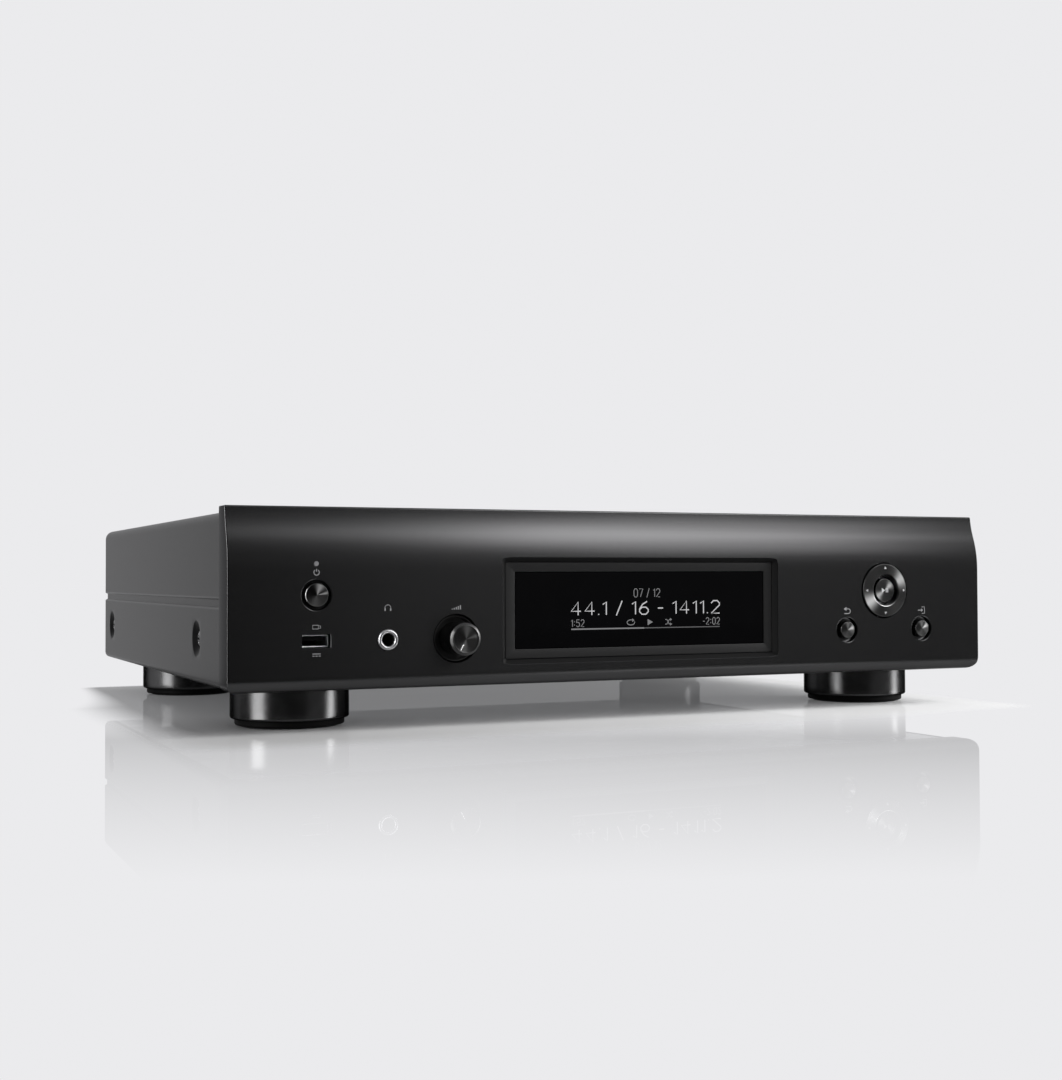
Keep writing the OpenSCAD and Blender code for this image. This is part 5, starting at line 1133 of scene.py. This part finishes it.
def bar(x0, x1, z0, z1):
    return [np.array([[x0, z0], [x1, z0], [x1, z1], [x0, z1]])]


def flag(*corners):
    return [np.array(corners)]


def waveLine(start, end, wide, high, steps=25):
    # points of (wide times cos t, high times sin t)
    t = np.linspace(start, end, steps)
    return np.stack([wide * np.cos(t), high * np.sin(t)], -1)


sineRun = np.linspace(-1, 1, 25)
symbols = {  # drawn about their middle at unit size
    "loop": stroke(waveLine(0.9, 6.6, 1, 0.6), 0.2) + flag((0.35, 0.95), (0.35, 0.1), (0.95, 0.52)),
    "mix": [shape * (1, flip) for flip in (1, -1)
            for shape in stroke([(-1, 0.6), (-0.5, 0.6), (0.2, -0.6), (0.5, -0.6)], 0.2)
            + flag((0.45, -1.0), (0.45, -0.2), (1.05, -0.6))],
    "run": flag((-1.5, 1.6), (-1.5, -1.6), (1.6, 0)),
    "standby": stroke(arc(0, 0, 1, 125, 415, 25), 0.3) + bar(-0.16, 0.16, 0.25, 1.25),
    "phones": stroke(arc(0, 0, 1, -10, 190, 25), 0.2) + bar(-1.15, -0.7, -0.9, 0) + bar(0.7, 1.15, -0.9, 0),
    "volume": [bar(0.44 * k - 1, 0.44 * k - 0.74, -0.35, 0.17 * k - 0.18)[0] for k in range(5)],
    "back": stroke([(-0.2, 0.6), (0.3, 0.6), *arc(0.4, 0, 0.6, 90, -90, 13), (-0.9, -0.6)], 0.22)
    + flag((-1.1, 0.6), (-0.2, 0.05), (-0.2, 1.15)),
    "source": stroke([(0.1, 0.9), (1.1, 0.9), (1.1, -0.9), (0.1, -0.9)], 0.2) + bar(-1.2, 0.0, -0.12, 0.12)
    + flag((0.55, 0), (-0.05, 0.5), (-0.05, -0.5)),
    "stick": stroke([(-1, 0.45), (0.45, 0.45), (0.45, -0.45), (-1, -0.45)], 0.18, True)
    + stroke([(0.45, 0.28), (1, 0.28), (1, -0.28), (0.45, -0.28)], 0.16),
    "supply": bar(-1, 1, 0.25, 0.45) + [bar(0.75 * k - 1, 0.75 * k - 0.5, -0.25, -0.05)[0] for k in range(3)],
    "enter": flag((-1, 0.6), (-1, -0.6), (0.05, 0)) + bar(0.3, 0.55, -0.55, 0.55)
    + bar(0.8, 1.05, -0.55, 0.55),
    "out": bar(-0.8, 0.8, -0.75, -0.5) + bar(-0.14, 0.14, -0.25, 0.5)
    + flag((-0.55, 0.45), (0.55, 0.45), (0, 1.2)),
    "network": bar(-0.35, 0.35, 0.35, 1.0) + bar(-1.1, -0.4, -1.0, -0.35) + bar(0.4, 1.1, -1.0, -0.35)
    + stroke([(0, 0.35), (0, 0)], 0.2) + stroke([(-0.75, -0.35), (-0.75, 0), (0.75, 0), (0.75, -0.35)], 0.2),
    "waves": [arc(0, 0, 0.3, 0, 360, 17)[:-1]]
    + [shape for k in (1, 2, 3) for shape in stroke(arc(0, 0, 0.6 * k, 45, 135, 13), 0.2)],
    "mains": stroke(np.stack([sineRun, 0.5 * np.sin(np.pi * sineRun)], -1), 0.25),
    "view": stroke(roundRect(2, 1.3, 0.15), 0.2, True) + bar(-0.5, 0.5, -1.05, -0.85)}

digitPaths = {  # pen paths on a field 3 wide and 6 high
    "0": [[(0, 1.2), (0, 4.8), (0.8, 6), (2.2, 6), (3, 4.8), (3, 1.2), (2.2, 0), (0.8, 0), (0, 1.2)]],
    "1": [[(0, 4.8), (1.2, 6), (1.2, 0)]],
    "2": [[(0, 4.8), (0.8, 6), (2.2, 6), (3, 4.8), (3, 3.9), (0, 0), (3, 0)]],
    "4": [[(2.3, 0), (2.3, 6), (0, 1.8), (3.2, 1.8)]],
    "5": [[(2.9, 6), (0.3, 6), (0.1, 3.3), (1, 3.8), (2.2, 3.7), (3, 2.6), (3, 1.2), (2.2, 0), (0.8, 0),
           (0, 1)]],
    "6": [[(2.6, 6), (1, 4.6), (0, 2.4), (0, 1.2), (0.8, 0), (2.2, 0), (3, 1.2), (3, 2.2), (2.2, 3.3),
           (0.9, 3.3), (0, 2.2)]],
    "7": [[(0, 6), (3, 6), (1, 0)]],
    "/": [[(0, -0.4), (2, 6.4)]], "-": [[(0, 2.8), (1.8, 2.8)]], ".": [[(0, 0), (0, 0.5)]],
    ":": [[(0.5, 1.1), (0.5, 1.9)], [(0.5, 3.9), (0.5, 4.7)]], " ": [[(0, 0), (0.6, 0)]]}
fieldHeight, signGap = 6, 1.4


def signWidth(sign):
    reach = max(point[0] for path in digitPaths[sign] for point in path)
    return reach * (2 if sign == ":" else 1)


def digits(body, height, x, z, pen, align=0.0, reach=None):
    # a line of signs, each drawn with a pen of constant width along its path; reach sets the line's width
    wide = np.array([signWidth(sign) for sign in body])
    start = np.cumsum(np.concatenate([[0], wide[:-1] + signGap]))
    full = start[-1] + wide[-1]
    unit = np.array([reach / full if reach else height / fieldHeight, height / fieldHeight])
    return [shape for sign, at in zip(body, start) if sign != " " for path in digitPaths[sign]
            for shape in stroke((np.array(path) + (at - align * full, 0)) * unit + (x, z), pen)]


def symbol(name, size, x, z):
    return [shape * size + (x, z) for shape in symbols[name]]


def addMarks(name, shapes, y, finish, body="chassis", facing=-1):
    points = np.concatenate(shapes)
    start = np.cumsum([0] + [len(shape) for shape in shapes])
    depth = y(points[:, 1]) if callable(y) else np.full(len(points), y)
    place = (np.stack([points[:, 0], depth, points[:, 1]], -1) + (0, frontY, 0)) * mm
    mesh = bpy.data.meshes.new(name)
    mesh.from_pydata(place.tolist(), [], [list(range(a, b)) for a, b in zip(start[:-1], start[1:])])
    work = bmesh.new()
    work.from_mesh(mesh)
    bmesh.ops.remove_doubles(work, verts=work.verts, dist=weld)
    for face in work.faces:
        if face.normal.y * facing < 0:
            face.normal_flip()
    work.to_mesh(mesh)
    work.free()
    placeMesh(name, mesh, finish, body)


ink = 0.02  # how far a print stands off its face
screen = {"left": -41.7, "right": 45.5, "titleZ": 62.9, "titleHeight": 4.2, "mainZ": 54.0, "mainHeight": 6.6,
          "timeZ": 48.2, "timeHeight": 3.5, "mainPen": 0.62, "pen": 0.42,
          "barZ": 46.6, "barHeight": 0.7, "barThin": 0.1, "played": 0.48, "signZ": 49.9,
          "signs": {"loop": (2.2, -7.6), "run": (1, 3.7), "mix": (2.0, 14.6)}}  # size and x


def makeScreen():
    left, right, pen = screen["left"], screen["right"], screen["pen"]
    front = nodeBox("display_window")[0][1] - ink
    small = digits("07 / 12", screen["titleHeight"], (left + right) / 2, screen["titleZ"], pen, 0.5)
    main = digits("44.1 / 16 - 1411.2", screen["mainHeight"], left, screen["mainZ"], screen["mainPen"],
                  reach=right - left)
    small += digits("1:52", screen["timeHeight"], left, screen["timeZ"], pen)
    small += digits("-2:02", screen["timeHeight"], right, screen["timeZ"], pen, 1.0)
    for name, (size, x) in screen["signs"].items():
        small += symbol(name, size, x, screen["signZ"])
    split = left + (right - left) * screen["played"]
    z0, z1, thin = screen["barZ"], screen["barZ"] + screen["barHeight"], screen["barThin"]
    small += bar(left, split, z0, z1)
    addMarks("screenMainLine", main, front, "screenGlow")
    addMarks("screenSmallSigns", small, front, "screenSoft")
    addMarks("screenBarRest", bar(split, right, z0 + thin, z1 - thin), front, "screenDim")


printed = {"standby": (1.3, -175.0, 75.9), "phones": (1.5, -140.0, 58.9), "volume": (2.4, -105.0, 58.6),
           "stick": (1.9, -175.0, 50.4), "supply": (2.0, -175.0, 37.2), "back": (2.1, 125.6, 54.0),
           "source": (2.0, 176.4, 54.0)}  # size, x and z
enterSize = 2.1


def makeSymbols():
    shapes = [shape for name, spot in printed.items() for shape in symbol(name, *spot)]
    addMarks("panelSymbols", shapes, lambda z: setBack(z) - ink, "printGrey")
    x, z = nodeMiddle("enter_button")[[0, 2]]
    front = nodeBox("enter_button")[0][1] - ink
    addMarks("enterSymbol", symbol("enter", enterSize, x, z), front, "markPale", "enter")


makeScreen()
makeSymbols()
print("marks ready")


# rear: turned phono barrels with coloured inserts, cross-head screws, network socket lining and printed signs

phono = {"barrel": 4.15, "flange": 5.45, "flangeThick": 1.2, "mouth": 3.3, "bore": 1.7, "insertIn": 0.6,
         "insertDeep": 5.0, "insertGap": 0.02, "insertFloor": 0.6, "edge": 0.25,
         "grip": (2.4, 3.4), "gripDeep": 0.2, "turns": 64, "insertTurns": 48,
         "middle": 0.5176}  # the middle column's place, as a share of the way from the first to the last


def makePhono():
    # barrel and insert are profiles of (radius, y), turned at each of the six sockets
    low, high = nodeBox("phono_sockets")
    out, end, start = nodeBox("rear_panel")[1][1], high[1], low[1]
    r, wide, mouth, bore, e = (phono[key] for key in ("barrel", "flange", "mouth", "bore", "edge"))
    thick, seat, back = out + phono["flangeThick"], end - phono["insertIn"], end - phono["insertDeep"]
    (near, far), cut = (end - np.array(phono["grip"])), phono["gripDeep"]
    barrel = [[mouth, start], [mouth, end - e], [mouth + e, end], [r - e, end], [r, end - e], [r, near],
              [r - cut, near - cut], [r - cut, far + cut], [r, far], [r, thick], [wide - e, thick],
              [wide, thick - e], [wide, out], [r, out], [r, start], [mouth, start]]
    snug, floor = mouth - phono["insertGap"], back + phono["insertFloor"]
    insert = [[0, floor], [bore, floor], [bore, seat + 0.1], [bore + 0.15, seat], [snug, seat], [snug, back],
              [0, back]]
    first, last = low[0] + wide, high[0] - wide
    columns = (first, first + phono["middle"] * (last - first), last)
    rows = (low[2] + wide, high[2] - wide)
    spots = [(x, 0, z) for x in columns for z in rows]
    addPiece("phonoBarrels", [lathe(barrel, spot, turns=phono["turns"]) for spot in spots], "giltBrass",
             nodes=["phono_sockets"])
    for name, finish, chosen in (("phonoInsertsDark", "innerPlastic", spots[:2]),
                                 ("phonoInsertsRed", "insertRed", spots[2::2]),
                                 ("phonoInsertsWhite", "insertWhite", spots[3::2])):
        turned = [lathe(insert, spot, turns=phono["insertTurns"]) for spot in chosen]
        addPiece(name, turned, finish)
    return columns, rows


screws = {  # slot as half its width, half its length and its depth
    "rear": {"r": 2.8, "crown": 0.8, "skirt": 1.2, "shank": 1.5, "long": 5.0, "slot": (0.38, 1.5, 0.75)},
    "side": {"r": 3.9, "crown": 1.0, "skirt": 1.2, "shank": 2.0, "long": 6.0, "slot": (0.5, 2.1, 0.9)}}
inletScrewIn = 4.0


def screwHead(middle, facing, look):
    # polar grid: a crown that falls with the square of the radius, less two crossed slots with soft sides,
    # then skirt and shank
    r, skirt, long, (wide, far, deep) = look["r"], look["skirt"], look["long"], look["slot"]
    radius = np.concatenate([np.linspace(0, r - 0.15, 26), [r, r, look["shank"], look["shank"], 0]])
    angle = np.linspace(0, 2 * np.pi, 72, endpoint=False)
    u, v = np.outer(radius, np.cos(angle)), np.outer(radius, np.sin(angle))

    def slot(a, b):
        return np.clip((wide - np.abs(a)) / 0.14 + 0.5, 0, 1) * np.clip((far - np.abs(b)) / 0.3 + 0.5, 0, 1)

    w = look["crown"] * (1 - (u ** 2 + v ** 2) / r ** 2) - deep * np.maximum(slot(u, v), slot(v, u))
    w[-5:] = np.array([-0.15, -skirt, -skirt, -long, -long])[:, None]
    axes = {"+y": (u, w, v), "+x": (w, u, v), "-x": (-w, u, v)}[facing]
    faces = gridFaces(len(radius), len(angle), closeCols=True)
    return np.stack(axes, -1).reshape(-1, 3) + np.array(middle), faces if facing == "+x" else faces[:, ::-1]


def makeScrews():
    head, high = screws["rear"], nodeBox("rear_screws")[1]
    inletLow, inletHigh = nodeBox("mains_inlet")
    out, far = nodeBox("top_cover")[1][1] - cover["lipBack"] + head["skirt"], high[0] - head["r"]
    spots = [(x, out, high[2] - head["r"]) for x in (-far, 0, far)]
    out, middle = inletHigh[1] + head["skirt"], (inletLow[2] + inletHigh[2]) / 2
    spots += [(x, out, middle) for x in (inletLow[0] + inletScrewIn, inletHigh[0] - inletScrewIn)]
    addPiece("rearCrossScrews", [screwHead(spot, "+y", head) for spot in spots], "blackScrew",
             nodes=["rear_screws"], sharp=40)
    head = screws["side"]
    low, high = nodeBox("side_screws")
    out, middle = high[0] - head["crown"], (low[2] + high[2]) / 2
    heads = [screwHead((side * out, y, middle), facing, head) for side, facing in ((-1, "-x"), (1, "+x"))
             for y in (low[1] + cover["screwIn"], high[1] - cover["screwIn"])]
    addPiece("sideCrossScrews", heads, "blackScrew", nodes=["side_screws"], sharp=40)


network = {"wall": 1.85, "taper": 0.8, "deep": 5.0, "contacts": 8, "pitch": 1.02, "halfWidth": 0.22,
           "frontIn": 1.8, "lift": 0.7, "rise": 2.6, "steps": 7}


def makeNetwork():
    # dark lining of the network socket, open to the rear, and a row of sprung contacts in it; a contact's
    # height grows with the square of the distance from its open end
    low, high = nodeBox("lan_socket")
    place, end, deep, taper = axisPoint("lan_socket"), high[1], low[1] + network["deep"], network["taper"]
    size = (high - low)[[0, 2]] - 2 * network["wall"]
    rows = grown(size, [(0, 0.3, end - 0.1), (-taper, 0.3, end - 0.5), (-taper, 0.3, deep)])
    addPiece("networkLining", [loft(rows, place), capRow(rows[-1], place)], "recessBlack",
             closed=False)
    count, steps = network["contacts"], network["steps"]
    t = np.linspace(0, 1, steps)
    y = deep + (end - network["frontIn"] - deep) * t
    z = place[2] - size[1] / 2 + network["lift"] + network["rise"] * (1 - t) ** 2
    middles = place[0] + (np.arange(count) - (count - 1) / 2) * network["pitch"]
    edges = np.array([-network["halfWidth"], network["halfWidth"]])
    y, z, faces = np.repeat(y, 2), np.repeat(z, 2), gridFaces(steps, 2)
    strips = [(np.stack([np.tile(x + edges, steps), y, z], -1), faces) for x in middles]
    addPiece("networkContacts", strips, "giltBrass", closed=False)


rearPrint = {"frame": (14.2, 31.0, 2.0), "line": 0.3, "signZ": 73.2, "ink": 0.03, "outSize": 1.9,
             "mastIn": 4.0, "mastBelow": 6.5, "waveSize": 1.3,
             "above": {  # symbol, its size and its height over the socket
                 "lan_socket": ("network", 2.0, 6.0), "usb_b_socket": ("out", 1.9, 6.0),
                 "hdmi_socket": ("view", 2.4, 6.0), "control_jacks": ("waves", 1.3, 6.0),
                 "mains_inlet": ("mains", 3.0, 5.0)}}


def makeRearPrint(columns, rows):
    # a frame round each pair of phono sockets, and a sign at every socket
    outline = stroke(roundRect(*rearPrint["frame"]), rearPrint["line"], True)
    shapes = [shape + (x, sum(rows) / 2) for x in columns for shape in outline]
    for x in (*columns, nodeMiddle("optical_sockets")[0]):
        shapes += symbol("out", rearPrint["outSize"], x, rearPrint["signZ"])
    for node, (name, size, over) in rearPrint["above"].items():
        shapes += symbol(name, size, nodeMiddle(node)[0], nodeBox(node)[1][2] + over)
    low, high = nodeBox("antenna_sockets")
    for x in (low[0] + rearPrint["mastIn"], high[0] - rearPrint["mastIn"]):
        shapes += symbol("waves", rearPrint["waveSize"], x, low[2] - rearPrint["mastBelow"])
    out = nodeBox("rear_panel")[1][1] + rearPrint["ink"]
    addMarks("rearPrint", shapes, out, "printWhite", facing=1)


makeRearPrint(*makePhono())
makeScrews()
makeNetwork()
print("rear ready")


def keepOff(lamp, names):
    # a flag keeps the lamp off these pieces
    group = bpy.data.collections.new(lamp + "Flag")
    for name in names:
        group.objects.link(bpy.data.objects[name])
    for item in group.collection_objects:
        item.light_linking.link_state = "EXCLUDE"
    bpy.data.objects[lamp].light_linking.receiver_collection = group


keepOff("rightSoft", ["frontPanelSkin", "topCoverShell"])
